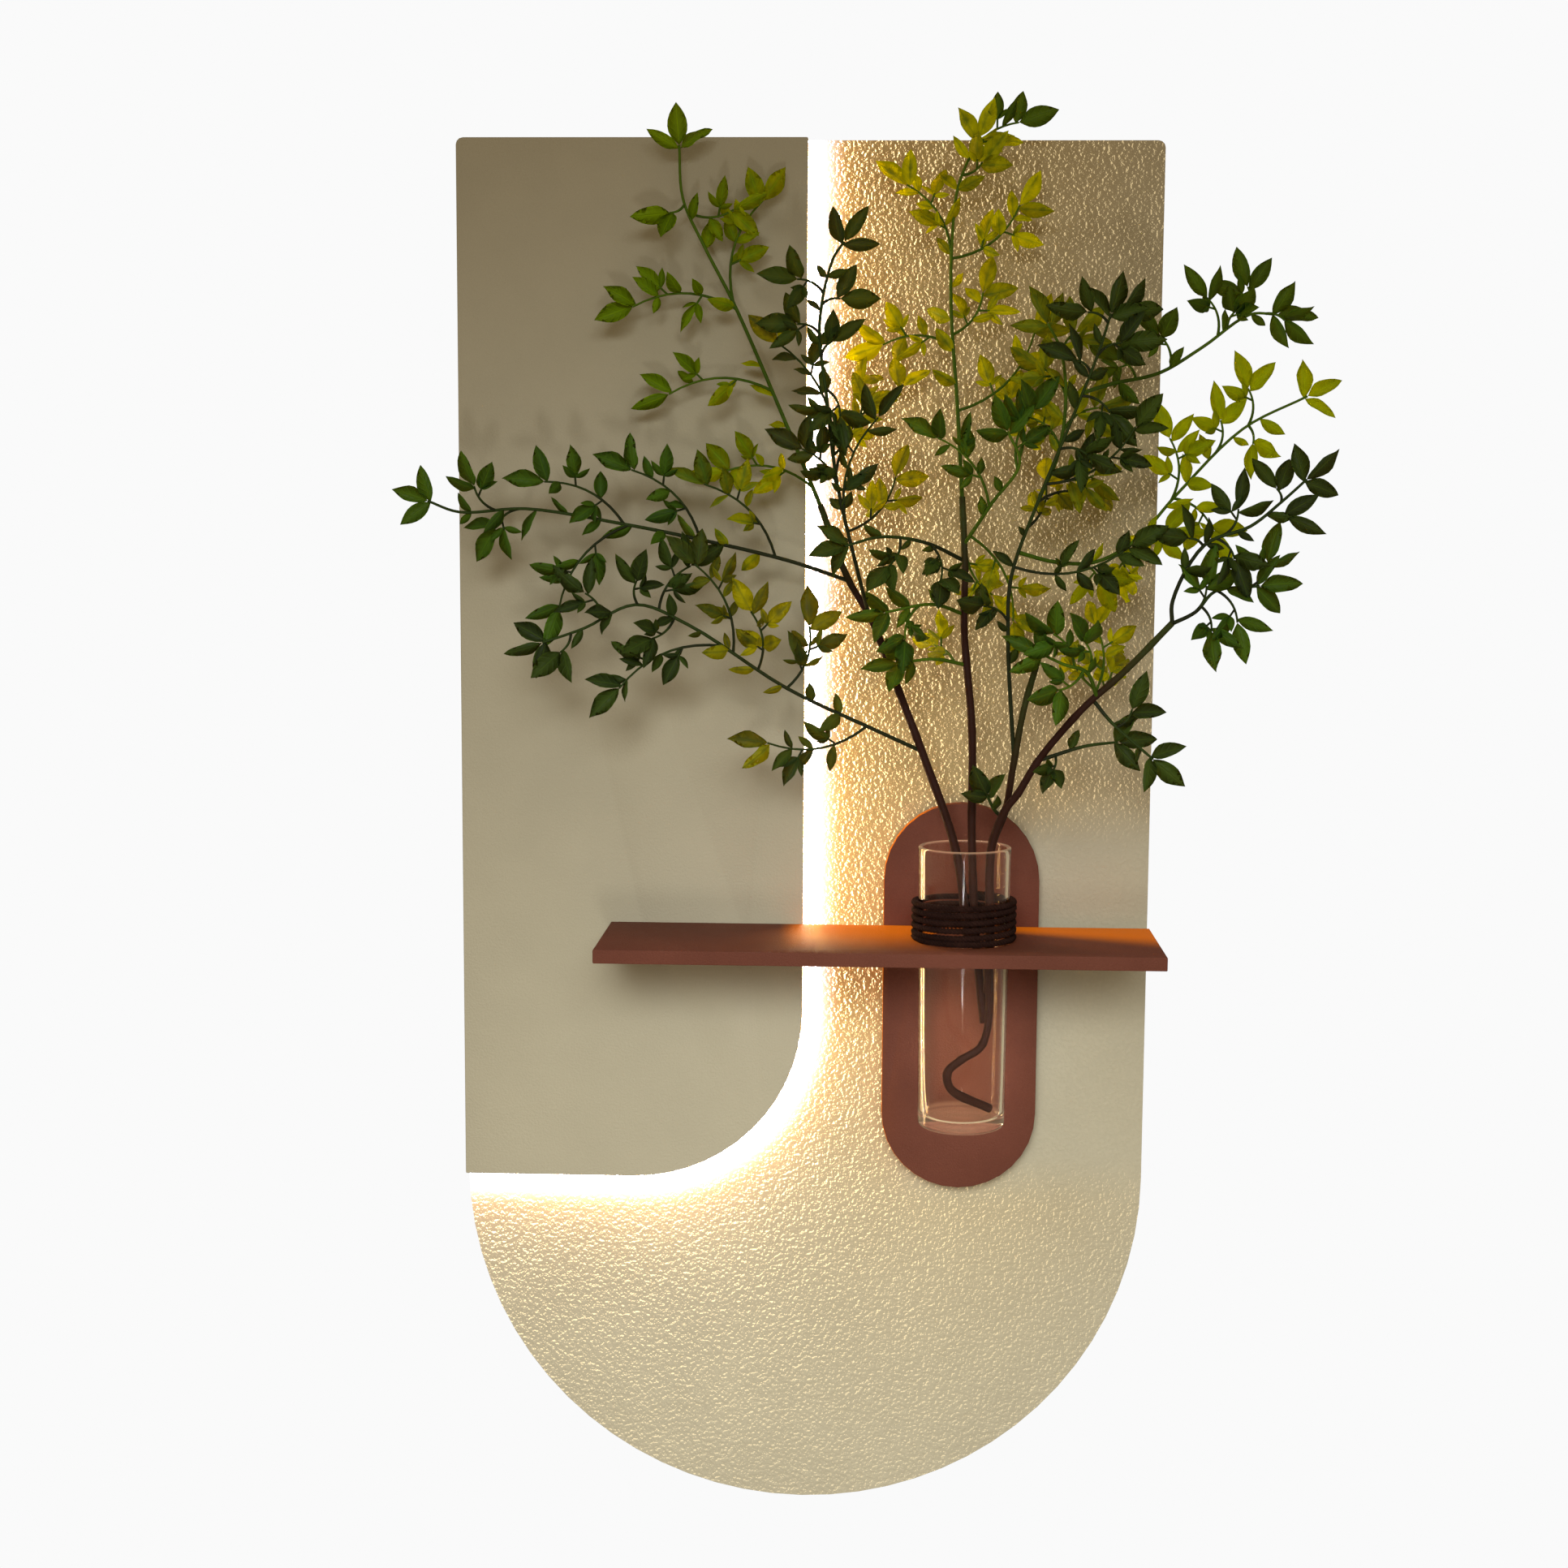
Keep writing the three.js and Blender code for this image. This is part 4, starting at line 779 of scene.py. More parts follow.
# A spray's lit value adds painted tape light to its leaves.
# Each stalk: share of the line, then side, reach and rise of its tip from its foot, and its bow.
sprays = {
    "left_top": {
        "look": "light",
        "line": [
            (-83, -22, 189), (-102, -24, 233), (-132, -28, 300), (-149, -30, 332), (-161, -30, 358),
            (-163, -28, 387),
        ],
        "stalks": [
            (0.55, -58, 2, 1, 1), (0.32, -58, -1, -2, 1), (0.57, 16, -4, 56, -1), (0.83, 26, 2, 1, 1),
            (0.05, -49, -8, 9, 1), (0.85, -8, 4, -5, -1),
        ],
    },
    "left_dark": {
        "look": "dark",
        "line": [
            (-56, -16, 131), (-62, 4, 155), (-73, 14, 201), (-79, 20, 248), (-83, 22, 285),
            (-76, 22, 320), (-70, 22, 329),
        ],
        "stalks": [
            (0.86, -14, 4, 7, 1), (0.83, 10, -6, 4, -1), (0.76, -12, -4, 5, 1), (0.7, 6, 5, 8, -1),
            (0.62, 8, 6, -15, -1), (0.44, -31, -9, 63, 1), (0.35, -20, 8, 24, 1), (0.25, 16, 18, 61, -1),
        ],
        "behind": [(0.45, 15, -44, 42, 1), (0.4, 36, -46, 50, -1), (0.25, 26, -36, 30, 1)],
    },
    "left_long": {
        "look": "midDark",
        "line": [
            (-67, -18, 147), (-100, -12, 158), (-156, -4, 171), (-192, 0, 178), (-245, 4, 186),
            (-282, 6, 184), (-299, 8, 190),
        ],
        "stalks": [
            (0.18, -39, 13, 40, 1), (0.36, -37, 13, 38, 1), (0.54, -43, 10, 23, 1),
            (0.53, -37, 14, -46, 1), (0.84, -10, 9, 13, -1), (0.78, -15, -4, -11, 1),
        ],
    },
    "left_low": {
        "look": "dark",
        "line": [
            (-25, -12, 52), (-52, -2, 65), (-100, 6, 88), (-154, 14, 123), (-183, 16, 134),
            (-211, 20, 121), (-234, 20, 113),
        ],
        "stalks": [
            (0.54, -56, 12, -23, 1), (0.51, -21, 7, 49, 1), (0.71, 17, -7, 24, -1), (0.76, 0, 8, 13, -1),
            (0.85, -9, 3, 14, 1), (0.93, -5, 6, -10, -1), (0.67, -11, 13, -11, -1),
            (0.15, -55, 9, -9, -1), (0.36, 12, -10, 34, 1), (0.44, -3, 17, 33, 1),
        ],
    },
    "centre_top": {
        "look": "mid", "lit": 0.72,
        "line": [
            (-4, -12, 194), (-7, -22, 244), (-11, -28, 297), (-11, -32, 334), (-8, -34, 365),
            (3, -34, 392),
        ],
        "stalks": [
            (0.42, -39, -8, 1, 1), (0.66, -25, -7, 41, 1), (0.66, 38, -7, 30, 1), (0.45, 17, -9, 24, 1),
            (0.24, 43, -12, 45, 1), (0.93, 28, 0, 21, -1), (0.89, 11, 6, 6, 1),
        ],
    },
    "centre_cross": {
        "look": "mid",
        "line": [(-3, -10, 167), (12, 8, 191), (26, 16, 212), (19, 20, 229)],
        "stalks": [(0.38, -29, 13, 37, 1), (0.71, 8, 3, 32, -1)],
        "behind": [
            (0.8, -4, -44, 34, 1), (0.8, 16, -46, 20, -1), (0.04, 16, -22, -30, 1),
            (0.1, 26, -26, -48, -1),
        ],
    },
    "centre_twig_low": {
        "look": "mid",
        "line": [(0, -4, 101), (-19, 8, 105), (-39, 16, 103)],
        "stalks": [],
        "behind": [(0.2, -12, -30, 8, 1)],
    },
    "centre_twig_mid": {
        "look": "mid",
        "line": [(-2, -6, 129), (-20, 6, 135), (-46, 18, 131)],
        "stalks": [(0.59, -8, 16, -18, 1)],
    },
    "centre_twig_high": {
        "look": "dark",
        "line": [(-3, -10, 159), (-25, 12, 169), (-49, 26, 172), (-68, 32, 167)],
        "stalks": [(0.34, 5, 22, -19, -1), (0.6, -6, 16, -15, -1)],
    },
    "right_tall": {
        "look": "dark",
        "line": [
            (26, 8, 50), (21, 20, 117), (22, 24, 151), (35, 32, 191), (50, 38, 230), (65, 42, 270),
            (71, 42, 290),
        ],
        "stalks": [
            (0.98, -11, 4, 5, 1), (0.99, 9, -4, 4, -1), (0.91, 13, 4, 6, -1), (0.87, -7, -3, 7, 1),
            (0.82, 15, 2, -9, -1), (0.7, 14, 7, -3, -1), (0.62, 46, 14, 30, 1), (0.43, 61, 18, 12, 1),
            (0.31, -14, 17, 9, 1),
        ],
        "behind": [(0.52, 13, -54, 26, 1), (0.58, 36, -58, 2, -1)],
    },
    "right_inner": {
        "look": "mid", "lit": 0.35,
        "line": [(36, 32, 194), (46, 24, 217), (50, 18, 247), (47, 14, 273), (40, 12, 287)],
        "stalks": [
            (0.57, -12, -14, 17, 1), (0.8, 8, -9, 14, -1), (0.3, -15, -23, 17, 1),
            (0.39, 19, -7, 13, -1), (0.16, 24, -19, -2, 1),
        ],
    },
    "right_top": {
        "look": "mid",
        "line": [
            (58, 40, 249), (76, 16, 255), (103, -2, 262), (126, -8, 276), (152, -12, 294),
            (166, -12, 294),
        ],
        "stalks": [
            (0.74, -7, 6, 20, 1), (0.88, 1, -4, 16, 1), (0.51, -7, 5, 17, 1), (0.79, 2, 13, 8, -1),
            (0.96, 9, 6, -4, -1), (0.34, -8, -11, 11, 1),
        ],
    },
    "right_bright": {
        "look": "yellow", "lit": 0.2,
        "line": [
            (26, 26, 164), (46, 16, 159), (69, 8, 159), (91, 2, 171), (114, -8, 196), (150, -14, 232),
            (185, -16, 250),
        ],
        "stalks": [
            (0.52, -2, 4, 34, 1), (0.53, 22, -2, -17, -1), (0.7, 2, 4, 18, 1), (0.82, -1, 2, 20, 1),
            (0.82, 2, 6, -10, -1), (0.35, 21, -6, 7, -1), (0.19, 11, -8, -9, -1),
        ],
        "behind": [(0.33, 14, -34, 2, 1), (0.3, 8, -32, -18, -1)],
    },
    "right_mid": {
        "look": "dark",
        "line": [
            (108, 34, 127), (108, 34, 139), (124, 36, 169), (148, 36, 179), (164, 36, 192),
            (177, 36, 204),
        ],
        "stalks": [
            (0.52, 8, -4, 14, 1), (0.41, -8, 4, 4, 1), (0.75, 10, 4, -1, -1), (0.84, -2, -4, 7, 1),
            (0.48, 10, 2, -11, -1),
        ],
    },
    "right_low": {
        "look": "midDark",
        "line": [(107, 32, 126), (121, 30, 133), (131, 30, 144), (155, 28, 147)],
        "stalks": [
            (0.91, 9, -2, 13, 1), (0.22, 8, 3, 16, 1), (0.36, 5, 6, -13, -1), (0.58, 11, 2, -17, -1),
        ],
    },
    "right_tail": {
        "look": "dark",
        "line": [(67, 26, 85), (77, 30, 73), (100, 30, 53)],
        "stalks": [(0.43, 8, 2, 10, 1)],
    },
    "right_tail_low": {
        "look": "dark",
        "line": [(40, 20, 51), (64, 22, 59), (82, 18, 61)],
        "stalks": [(0.19, -2, 12, -7, -1)],
    },
    "front_right": {
        "look": "mid",
        "line": [(69, 28, 87), (62, 40, 101), (50, 46, 105), (37, 48, 111)],
        "stalks": [(0.36, -3, 10, 18, 1), (0.58, -12, 8, 18, 1), (0.45, -14, 12, -10, -1)],
        "behind": [(0.06, 4, -52, 34, 1), (0.12, -8, -50, 16, -1), (0.04, 14, -50, 12, 1)],
    },
    "mouth_twig": {
        "look": "dark",
        "line": [(21, 2, 16), (15, 14, 23), (11, 20, 31)],
        "stalks": [],
    },
}

leafSet = {
    "length": 23, "clusterShare": 0.82, "tinyShare": 0.46, "stub": 5, "stubTip": 1.5,
    "thickness": 0.5, "halfWidth": 0.26, "roll": 1.5, "trim": 2.5,
    "longStalk": 28, "shortStalk": 13, "bow": 0.14, "barest": 22,
    "mainPitch": 18, "stalkPitch": 12, "sideShare": 0.56,  # small leaves along the lines
}
# painted light: how far the tape's glow painted on leaves reaches
litSet = {  # the tape's reach, from the board and from the panel's free edge, and its shares
    "depth": 62, "width": 230, "left": 62, "near": 60, "edge": -8,
    "leftShare": 0.8, "boost": 0.9, "most": 1.7, "behind": 0.9,
}
twigSet = {"stem": (2.6, 0.3), "twig": (1.2, 0.4), "stalk": (0.85, 0.35), "stub": (0.6, 0.0)}  # radius, taper
boardFront = -boardFace / mm
panelEdge = panelBox[1].x / mm
boardTop = boardBox[1].z / mm
plantLow = Vector(cadBox[0]) / mm + Vector((1.0, 0, 0))  # no leaf passes these
plantHigh = Vector(cadBox[1]) / mm - Vector((1.0, 0, 1.0))


def tapered(kind):
    radius, taper = twigSet[kind]
    return lambda t: radius * (1 - taper * t)


def direction(place):
    return Vector((place[0], -place[1], place[2]))


def plantPoint(place):
    return direction(place) + mouth


def chance(seed):  # an even spread from 0 to 1, the same on every run
    value = math.sin(seed * 12.9898) * 43758.5453
    return value - math.floor(value)


class Curve:  # a centripetal curve through the points
    def __init__(self, points):
        self.points = [Vector(p) for p in points]
        first = 2 * self.points[0] - self.points[1]
        last = 2 * self.points[-1] - self.points[-2]
        self.all = [first, *self.points, last]
        steps = 200
        self.lengths = [0.0]
        before = self.at(0)
        for i in range(1, steps + 1):
            now = self.at(i / steps)
            self.lengths.append(self.lengths[-1] + (now - before).length)
            before = now

    def at(self, t):
        spans = len(self.points) - 1
        place = min(max(t, 0.0), 1.0) * spans
        i = min(int(place), spans - 1)
        f = place - i
        p0, p1, p2, p3 = self.all[i:i + 4]
        d0, d1, d2 = (max((b - a).length_squared, 1e-12) ** 0.25 for a, b in ((p0, p1), (p1, p2), (p2, p3)))
        t1 = ((p1 - p0) / d0 - (p2 - p0) / (d0 + d1) + (p2 - p1) / d1) * d1
        t2 = ((p2 - p1) / d1 - (p3 - p1) / (d1 + d2) + (p3 - p2) / d2) * d1
        return p1 + t1 * f + (-3 * p1 + 3 * p2 - 2 * t1 - t2) * f * f + (2 * p1 - 2 * p2 + t1 + t2) * f ** 3

    def atShare(self, share):  # by length
        goal = share * self.lengths[-1]
        steps = len(self.lengths) - 1
        i = 0
        while i < steps - 1 and self.lengths[i + 1] < goal:
            i += 1
        span = self.lengths[i + 1] - self.lengths[i]
        return self.at((i + (goal - self.lengths[i]) / max(span, 1e-9)) / steps)

    def endHeading(self):
        return (self.at(1) - self.at(0.999)).normalized()

    def spread(self, steps):
        return [self.at(i / steps) for i in range(steps + 1)]


def turned(heading, angle, lean):
    flat = Quaternion(toRoom, angle) @ heading
    return (flat + toRoom * math.tan(lean)).normalized()


def endLeaves(end, heading, sides, seed):
    length = leafSet["length"]
    leaves = [{"foot": end, "heading": turned(heading, 0, 0.3 * chance(seed) - 0.05), "length": length}]
    for i, side in enumerate(sides):
        angle = side * (0.85 + 0.3 * chance(seed + 1 + i))
        lean = 0.7 * chance(seed + 3 + i) - 0.15
        foot = end - 2 * heading
        leaves.append({"foot": foot, "heading": turned(heading, angle, lean), "length": 0.92 * length})
    return leaves


def stalkLeaves(points, bow, seed):
    last = len(points) - 1
    length = (points[last] - points[0]).length

    def headingAt(i):
        return (points[min(i + 1, last)] - points[max(i - 1, 0)]).normalized()

    leaves = endLeaves(points[last], headingAt(last), [-bow], seed)
    if length > leafSet["longStalk"]:
        places = [(0.45, bow), (0.7, -bow)]
    elif length > leafSet["shortStalk"]:
        places = [(0.5, bow)]
    else:
        places = []
    for i, (share, side) in enumerate(places):
        index = int(share * last + 0.5)
        angle = side * (0.8 + 0.5 * chance(seed + 11 + i))
        lean = 0.9 * chance(seed + 13 + i) - 0.25
        leaves.append(clusterLeaf(points[index], turned(headingAt(index), angle, lean)))
    return leaves


def clusterLeaf(foot, heading):
    length = leafSet["clusterShare"] * leafSet["length"]
    return {"foot": foot, "heading": heading, "length": length, "stub": True}


def stalkPoints(foot, stalk, steps):
    reachOut = direction(stalk[1:4])
    sideways = Vector((reachOut.z, 0, -reachOut.x)) * (stalk[4] * leafSet["bow"] * 4)
    shares = [i / steps for i in range(steps + 1)]
    return [foot + reachOut * t + sideways * t * (1 - t) for t in shares]


def leafAxes(leaf, roll):
    across = Quaternion(leaf["heading"], roll) @ leaf["heading"].cross(toRoom).normalized()
    up = across.cross(leaf["heading"]).normalized()
    return Matrix((across, leaf["heading"], up)).transposed()


# One leaf of a kind, 1 long along +Y, a thin closed lens with a folded midrib
leafKinds = {
    "open": {"ratio": 0.49, "fold": 0.12, "droop": 0.10, "wave": 0.02},
    "folded": {"ratio": 0.42, "fold": 0.30, "droop": 0.05, "wave": 0.015},
    "curled": {"ratio": 0.46, "fold": 0.08, "droop": 0.24, "wave": 0.04},
    "long": {"ratio": 0.35, "fold": 0.14, "droop": 0.14, "wave": 0.02},
    "narrow": {"ratio": 0.36, "fold": 0.18, "droop": 0.12, "wave": 0.0},
}
leafRows = [
    (0.04, 0.13), (0.11, 0.40), (0.21, 0.72), (0.33, 0.93), (0.46, 1.0),
    (0.60, 0.94), (0.73, 0.74), (0.85, 0.45), (0.94, 0.18),
]


def makeLeafKind(name, kind):
    thickness = leafSet["thickness"] / leafSet["length"]
    half = kind["ratio"] / 2

    def surface(t, x, width):
        fold = kind["fold"] * abs(x) * half * width * 2
        wave = kind["wave"] * math.sin(11 * t + 2 * x) * abs(x)
        return (x * half * width, t, fold + wave - kind["droop"] * t * t + kind["droop"] * 0.4 * t)

    vertices, marks = [(0, 0, 0)], [(0.0, 0.0)]
    for t, width in leafRows:
        for x in (-1, 0, 1):
            vertices.append(surface(t, x, width))
            marks.append((t, x))
        px, py, pz = surface(t, 0, width)
        vertices.append((px, py, pz - thickness))
        marks.append((t, 0))
    vertices.append(surface(1, 0, 0))
    marks.append((1.0, 0.0))
    size = 4  # round one row: over the top, back underneath
    last = 1 + size * (len(leafRows) - 1)
    faces = []
    for a in range(size):
        b = (a + 1) % size
        faces.append((0, 1 + b, 1 + a))
        for base in range(1, last, size):
            faces.append((base + a, base + b, base + size + b, base + size + a))
        faces.append((last + a, last + b, len(vertices) - 1))
    mesh = solidMesh(name, vertices, faces)
    for label, index in (("along", 0), ("across", 1)):
        attribute = mesh.attributes.new(label, "FLOAT", "POINT")
        attribute.data.foreach_set("value", [m[index] for m in marks])
    return linked(name, mesh)


leafSources = [makeLeafKind("leaf" + name.capitalize(), kind) for name, kind in leafKinds.items()]


def makePlantTree():
    graph, source = newTree("plant", {
        "Twig sides": "NodeSocketInt",
        "Leaf material": "NodeSocketMaterial",
        "Twig material": "NodeSocketMaterial",
    })
    parts = graph.add("GeometryNodeSeparateGeometry", {"domain": "POINT"}, {
        "Geometry": source.other("Geometry"), "Selection": named(graph, "isLeaf", "BOOLEAN"),
    })
    lines = graph.add("GeometryNodeMeshToCurve", None, {0: parts.other("Inverted")})
    circle = graph.add("GeometryNodeCurvePrimitiveCircle", None, {
        "Resolution": source.other("Twig sides"), "Radius": 1.0,
    })
    twigs = graph.add("GeometryNodeCurveToMesh", None, {
        "Curve": lines, "Profile Curve": circle, "Scale": named(graph, "girth"), "Fill Caps": True,
    })
    twigs = graph.add("GeometryNodeSetShadeSmooth", None, {0: twigs})
    twigs = graph.add("GeometryNodeStoreNamedAttribute", {"data_type": "FLOAT", "domain": "POINT"}, {
        "Geometry": twigs, "Name": "isTwig", "Value": 1.0,
    })
    kinds = [
        graph.add("GeometryNodeObjectInfo", None, {"Object": leaf, "As Instance": True}, "Geometry")
        for leaf in reversed(leafSources)
    ]
    turn = graph.add("FunctionNodeEulerToRotation", None, {0: named(graph, "turn", "FLOAT_VECTOR")})
    leaves = graph.add("GeometryNodeInstanceOnPoints", None, {
        "Points": parts.other("Selection"),
        "Instance": joined(graph, kinds),
        "Pick Instance": True,
        "Instance Index": named(graph, "kind", "INT"),
        "Rotation": turn,
        "Scale": named(graph, "size"),
    })
    whole = joined(graph, [twigs, leaves])
    whole = graph.add("GeometryNodeRealizeInstances", None, {0: whole})
    whole = painted(graph, whole, source.other("Leaf material"))
    whole = painted(graph, whole, source.other("Twig material"), named(graph, "isTwig") * 1.0)
    return closeTree(graph, whole)


plantTree = makePlantTree()
plantFields = {
    "girth": "FLOAT", "along": "FLOAT", "shade": "FLOAT", "lit": "FLOAT",
    "size": "FLOAT", "kind": "INT", "isLeaf": "BOOLEAN", "turn": "FLOAT_VECTOR",
}


def plantPiece(name, lines, leaves, looks, sides=7):
    vertices, edges = [], []
    fields = {key: [] for key in plantFields}

    def addVertex(place, **values):
        vertices.append(place * mm)
        for key in plantFields:
            fields[key].append(values.get(key, (0.0, 0.0, 0.0) if key == "turn" else 0))
        return len(vertices) - 1

    for points, radiusAt in lines:
        last = len(points) - 1
        indices = [addVertex(p, girth=radiusAt(i / last) * mm, along=i / last) for i, p in enumerate(points)]
        edges += list(zip(indices, indices[1:]))
    for leaf in leaves:
        marks = {key: leaf[key] for key in ("kind", "shade", "lit")}
        turn = tuple(leaf["axes"].to_euler("XYZ"))
        addVertex(leaf["foot"], turn=turn, size=leaf["length"] * mm, isLeaf=True, **marks)
    mesh = bpy.data.meshes.new(name)
    mesh.from_pydata(vertices, edges, [])
    for key, kind in plantFields.items():
        data = mesh.attributes.new(key, kind, "POINT").data
        if key == "turn":
            data.foreach_set("vector", [c for turn in fields[key] for c in turn])
        else:
            data.foreach_set("value", fields[key])
    piece = linked(name, mesh)
    applyTree(piece, plantTree, {"Twig sides": sides, "Leaf material": looks[0], "Twig material": looks[1]})
    for key in ("girth", "size", "kind", "isLeaf", "turn"):
        if key in piece.data.attributes:
            piece.data.attributes.remove(piece.data.attributes[key])
    return piece


def makeStem(name, line):
    curve = Curve([plantPoint(p) for p in line])
    points = curve.spread(10 * (len(line) - 1))
    bare = tapered("stem")

    def radiusAt(t):  # nine low knots along the stem
        knot = 0.10 * math.exp(-((t * 9) % 1 - 0.5) ** 2 * 90)
        return bare(t) * (1 + knot - 0.03)

    looks = (finishes["bark"], finishes["bark"])
    piece = plantPiece(name.replace("_", "") + "Bark", [(points, radiusAt)], [], looks, 12)
    adopt(piece, "branches", name)


def finishLeaf(leaf, seed):
    reach = leaf["heading"] * leaf["length"]
    start = leaf["foot"] + leaf["heading"] * (leafSet["stub"] if leaf.get("stub") else 0)
    tip = start + reach
    upper = start + reach / 2 + Vector((0, 0, leafSet["halfWidth"] * leaf["length"]))
    past = max(tip.x - plantHigh.x, plantLow.x - tip.x, tip.z - plantHigh.z, upper.z - plantHigh.z, 0.0)
    leaf["length"] -= past * leafSet["trim"]
    leaf["axes"] = leafAxes(leaf, leafSet["roll"] * (chance(seed) - 0.5))
    leaf.setdefault("kind", int(4 * chance(seed + 1)))
    leaf["shade"] = chance(seed + 2)
    return leaf


# painted light: the share of the tape's glow painted onto a leaf
def litShare(place, sprayLit):  # leaves near the board and the tape glow through
    fromBoard = -place.y - boardFront
    fromEdge = place.x - panelEdge
    if place.z > boardTop:
        return 0.0
    if fromEdge < litSet["edge"]:
        return litSet["leftShare"] * max(0.0, 1 + fromEdge / litSet["left"])
    near = max(0.0, 1 - fromBoard / litSet["depth"]) * max(0.0, 1 - fromEdge / litSet["width"])
    boost = 1 + litSet["boost"] * max(0.0, 1 - fromEdge / litSet["near"])
    return min(litSet["most"], (sprayLit + near) * boost)


def sideLeaves(points, pitch, start, seed):  # small leaves to both sides along a line
    leaves = []
    lengths = [0.0]
    for a, b in zip(points, points[1:]):
        lengths.append(lengths[-1] + (b - a).length)
    total = lengths[-1]
    for k in range(int((total * (1 - start)) / pitch)):
        goal = total * start + (k + 0.5) * pitch
        i = max(j for j, length in enumerate(lengths[:-1]) if length <= goal)
        heading = (points[i + 1] - points[i]).normalized()
        for side in (-1, 1):
            s = seed + 17 * k + 5 * side
            if chance(s + 9) >= leafSet["sideShare"]:
                continue
            angle = side * (0.55 + 0.6 * chance(s))
            lean = 1.5 * chance(s + 1) - 0.6
            leaves.append({
                "foot": points[i] + heading * (goal - lengths[i]),
                "heading": turned(heading, angle, lean),
                "length": leafSet["length"] * (0.42 + 0.42 * chance(s + 2)),
                "kind": 3 if chance(s + 3) < 0.5 else int(3 * chance(s + 4)),
            })
    return leaves


def growStub(leaf, seed):  # it carries the leaf, with two narrow ones beside it
    heading = leaf["heading"]
    end = leaf["foot"] + heading * leafSet["stub"]
    line = [leaf["foot"], end, end + heading * leafSet["stubTip"]]
    leaf["foot"] = end
    beside = []
    for side in (-1, 1):
        angle = side * (0.6 + 0.6 * chance(seed + side))
        lean = 0.8 * chance(seed + 2 + side) - 0.2
        length = leafSet["tinyShare"] * leafSet["length"] * (0.8 + 0.4 * chance(seed + 2 * side))
        tiny = {"foot": end, "heading": turned(heading, angle, lean), "length": length, "kind": 4}
        tiny["lit"] = leaf.get("lit", 0.0)
        beside.append(finishLeaf(tiny, seed + 3 + side))
    return line, beside


def makeSpray(name, spray, index):
    curve = Curve([plantPoint(p) for p in spray["line"]])
    spread = curve.spread(6 * (len(spray["line"]) - 1))
    lines = [(spread, tapered("twig"))]
    leaves = endLeaves(curve.at(1), curve.endHeading(), [-1, 1], 500 + 40 * index)
    leaves += sideLeaves(spread, leafSet["mainPitch"], 0.18, 4000 + 97 * index)
    for i, stalk in enumerate(spray["stalks"] + spray.get("behind", [])):
        foot = curve.atShare(stalk[0])
        points = stalkPoints(foot, stalk, 9)
        lines.append((points, tapered("stalk")))
        grown = stalkLeaves(stalkPoints(foot, stalk, 3), stalk[4], 1000 + 100 * index + 7 * i)
        if (points[-1] - points[0]).length > leafSet["barest"]:
            grown += sideLeaves(points, leafSet["stalkPitch"], 0.25, 6000 + 131 * index + 11 * i)
        if i >= len(spray["stalks"]):
            grown = [dict(leaf, lit=litSet["behind"]) for leaf in grown]
        leaves += grown
    for number, leaf in enumerate(list(leaves)):
        seed = 7000 + 211 * index + 5 * number
        finishLeaf(leaf, seed + 0.5)
        if leaf.get("stub"):
            line, beside = growStub(leaf, seed)
            lines.append((line, tapered("stub")))
            leaves += beside
    for leaf in leaves:
        share = max(leaf.get("lit", 0.0), litShare(leaf["foot"], spray.get("lit", 0.0)))
        leaf["lit"] = share * (0.45 + 0.8 * chance(leaf["shade"] * 997))
    looks = tuple(finishes[look] for look in sprayLooks[spray["look"]])
    piece = plantPiece(name.replace("_", "") + "Leaves", lines, leaves, looks)
    adopt(piece, "branches", name)
    return len(leaves)


for name, line in stems.items():
    makeStem(name, line)
leafCount = sum(makeSpray(name, spray, index) for index, (name, spray) in enumerate(sprays.items()))
print("plants grown:", leafCount, "leaves")


# Glass tube: a turned wall with a rounded rim and foot

glassSet = {
    "wall": 2.4, "floor": 6.0, "rim": 26.0, "foot": 24.5, "segments": 96,
    "footTurn": 3.2, "innerTurn": 4.0, "rings": (30, 70, 110),
}


def revolve(name, profile, axis, segments):
    vertices, faces, rings = [], [], []
    for radius, height in profile:
        if radius < 1e-6:
            rings.append([len(vertices)])
            vertices.append((axis.x * mm, axis.y * mm, (axis.z + height) * mm))
            continue
        rings.append(list(range(len(vertices), len(vertices) + segments)))
        for k in range(segments):
            angle = 2 * math.pi * k / segments
            vertices.append((
                (axis.x + radius * math.cos(angle)) * mm,
                (axis.y + radius * math.sin(angle)) * mm,
                (axis.z + height) * mm,
            ))
    for low, high in zip(rings, rings[1:]):
        for k in range(segments):
            n = (k + 1) % segments
            if len(low) == 1:
                faces.append((low[0], high[k], high[n]))
            elif len(high) == 1:
                faces.append((low[k], high[0], low[n]))
            else:
                faces.append((low[k], high[k], high[n], low[n]))
    return linked(name, solidMesh(name, vertices, faces))


def arcPoints(centre, radius, start, end, steps):  # from one angle to another, in degrees
    angles = [math.radians(start + (end - start) * i / steps) for i in range(steps + 1)]
    return [(centre[0] + radius * math.cos(a), centre[1] + radius * math.sin(a)) for a in angles]


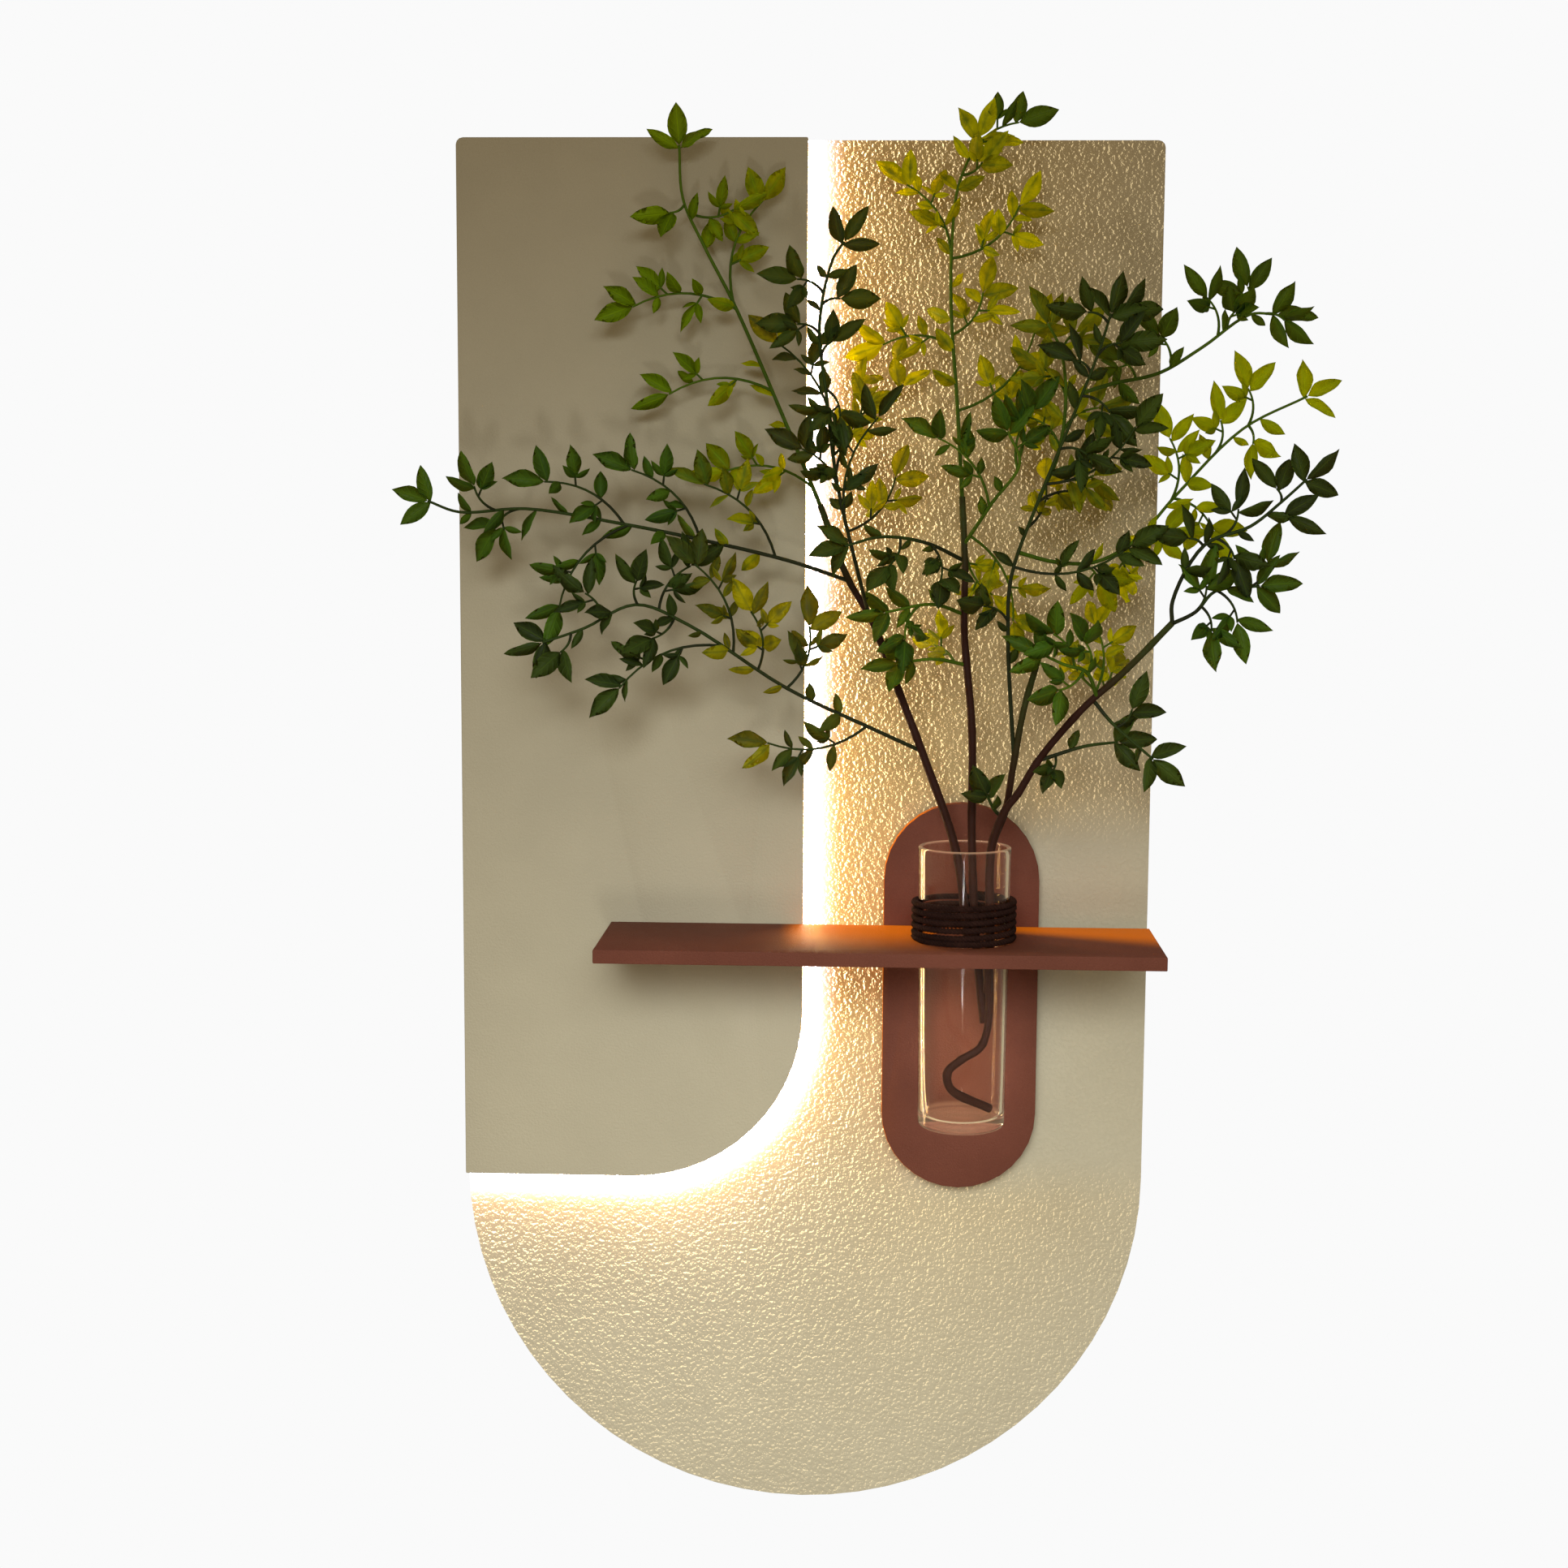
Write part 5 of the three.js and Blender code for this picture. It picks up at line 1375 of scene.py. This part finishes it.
def makeGlass():
    low, high = (Vector(c) / mm for c in glassBox)
    height = high.z - low.z
    wall, floor, rings = (glassSet[key] for key in ("wall", "floor", "rings"))
    turn, innerTurn, lip = glassSet["footTurn"], glassSet["innerTurn"], glassSet["wall"] / 2

    def outer(h):
        return glassSet["foot"] + (glassSet["rim"] - glassSet["foot"]) * h / height

    profile = [(0, 0.4), (6, 0.3), (14, 0.1), (20, 0)]
    profile += arcPoints((outer(turn) - turn, turn), turn, -90, 0, 6)
    profile += [(outer(h), h) for h in (*rings, height - 4)]
    profile += arcPoints((outer(height) - lip, height - lip), lip, 0, 180, 8)
    profile += [(outer(h) - wall, h) for h in (height - 5, *reversed(rings))]
    profile += arcPoints((outer(floor) - wall - innerTurn, floor + innerTurn), innerTurn, 0, -90, 5)
    profile += [(12, floor - 0.3), (0, floor - 0.6)]
    axis = Vector((mouth.x, mouth.y, low.z))
    piece = revolve("glassTube", profile, axis, glassSet["segments"])
    piece.data.materials.append(finishes["glass"])
    piece.visible_shadow = False  # lamp light passes the clear wall
    adopt(piece, "vase", "glass_tube")


makeGlass()
print("glass turned")


# Rope collar: three strands laid round one wound path

ropeSet = {
    "turns": 5.7, "rows": 4.75, "flat": 0.45, "pitch": 4.2, "diameter": 3.7, "lay": 7.0,
    "strands": 3, "press": 1.12, "stepsPerTurn": 150, "sides": 8,
}


def makeRopeTree():
    graph, source = newTree("rope", {
        "Strand offset": "NodeSocketFloat",
        "Strand radius": "NodeSocketFloat",
        "Twists": "NodeSocketFloat",
        "Sides": "NodeSocketInt",
        "Material": "NodeSocketMaterial",
    })
    line = graph.add("GeometryNodeMeshToCurve", None, {0: source.other("Geometry")})
    share = graph.add("GeometryNodeSplineParameter").other("Factor")
    normal = graph.add("GeometryNodeInputNormal")
    side = graph.vectors("CROSS_PRODUCT", graph.add("GeometryNodeInputTangent"), normal)
    circle = graph.add("GeometryNodeCurvePrimitiveCircle", None, {
        "Resolution": source.other("Sides"), "Radius": source.other("Strand radius"),
    })
    strands = []
    for k in range(ropeSet["strands"]):
        angle = share * source.other("Twists") * (2 * math.pi) + 2 * math.pi * k / ropeSet["strands"]
        outward = graph.scaled(normal, angle.math("COSINE", angle) * source.other("Strand offset"))
        sideways = graph.scaled(side, angle.sine() * source.other("Strand offset"))
        offset = graph.vectors("ADD", outward, sideways)
        strand = graph.add("GeometryNodeSetPosition", None, {"Geometry": line, "Offset": offset})
        strands.append(graph.add("GeometryNodeCurveToMesh", None, {
            "Curve": strand, "Profile Curve": circle, "Fill Caps": True,
        }))
    whole = graph.add("GeometryNodeRealizeInstances", None, {0: joined(graph, strands)})
    return closeTree(graph, painted(graph, whole, source.other("Material")))


def makeRope():
    low, high = (Vector(c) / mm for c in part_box("rope_winding"))
    radius = (high.x - low.x) / 2 - ropeSet["diameter"] / 2
    axis = Vector((mouth.x, mouth.y, 0))
    start = low.z + ropeSet["diameter"] / 2
    steps = round(ropeSet["turns"] * ropeSet["stepsPerTurn"])
    points = []
    for i in range(steps + 1):
        turns = i / ropeSet["stepsPerTurn"]
        angle = 2 * math.pi * turns + math.pi
        rise = min(max(turns - ropeSet["flat"], 0), ropeSet["rows"]) * ropeSet["pitch"]
        place = axis + Vector((radius * math.cos(angle), radius * math.sin(angle), start + rise))
        points.append(place * mm)
    mesh = bpy.data.meshes.new("ropeCollar")
    mesh.from_pydata(points, [(i, i + 1) for i in range(steps)], [])
    piece = linked("ropeCollar", mesh)
    strand = ropeSet["diameter"] / 2 / (1 + 2 / math.sqrt(3)) * ropeSet["press"]
    applyTree(piece, makeRopeTree(), {
        "Strand offset": (ropeSet["diameter"] / 2 - strand) * mm,
        "Strand radius": strand * mm,
        "Twists": ropeSet["turns"] * 2 * math.pi * radius / ropeSet["lay"],
        "Sides": ropeSet["sides"],
        "Material": finishes["rope"],
    })
    adopt(piece, "vase", "rope_winding")


makeRope()
print("rope wound")

for leaf in leafSources:
    bpy.data.objects.remove(leaf)
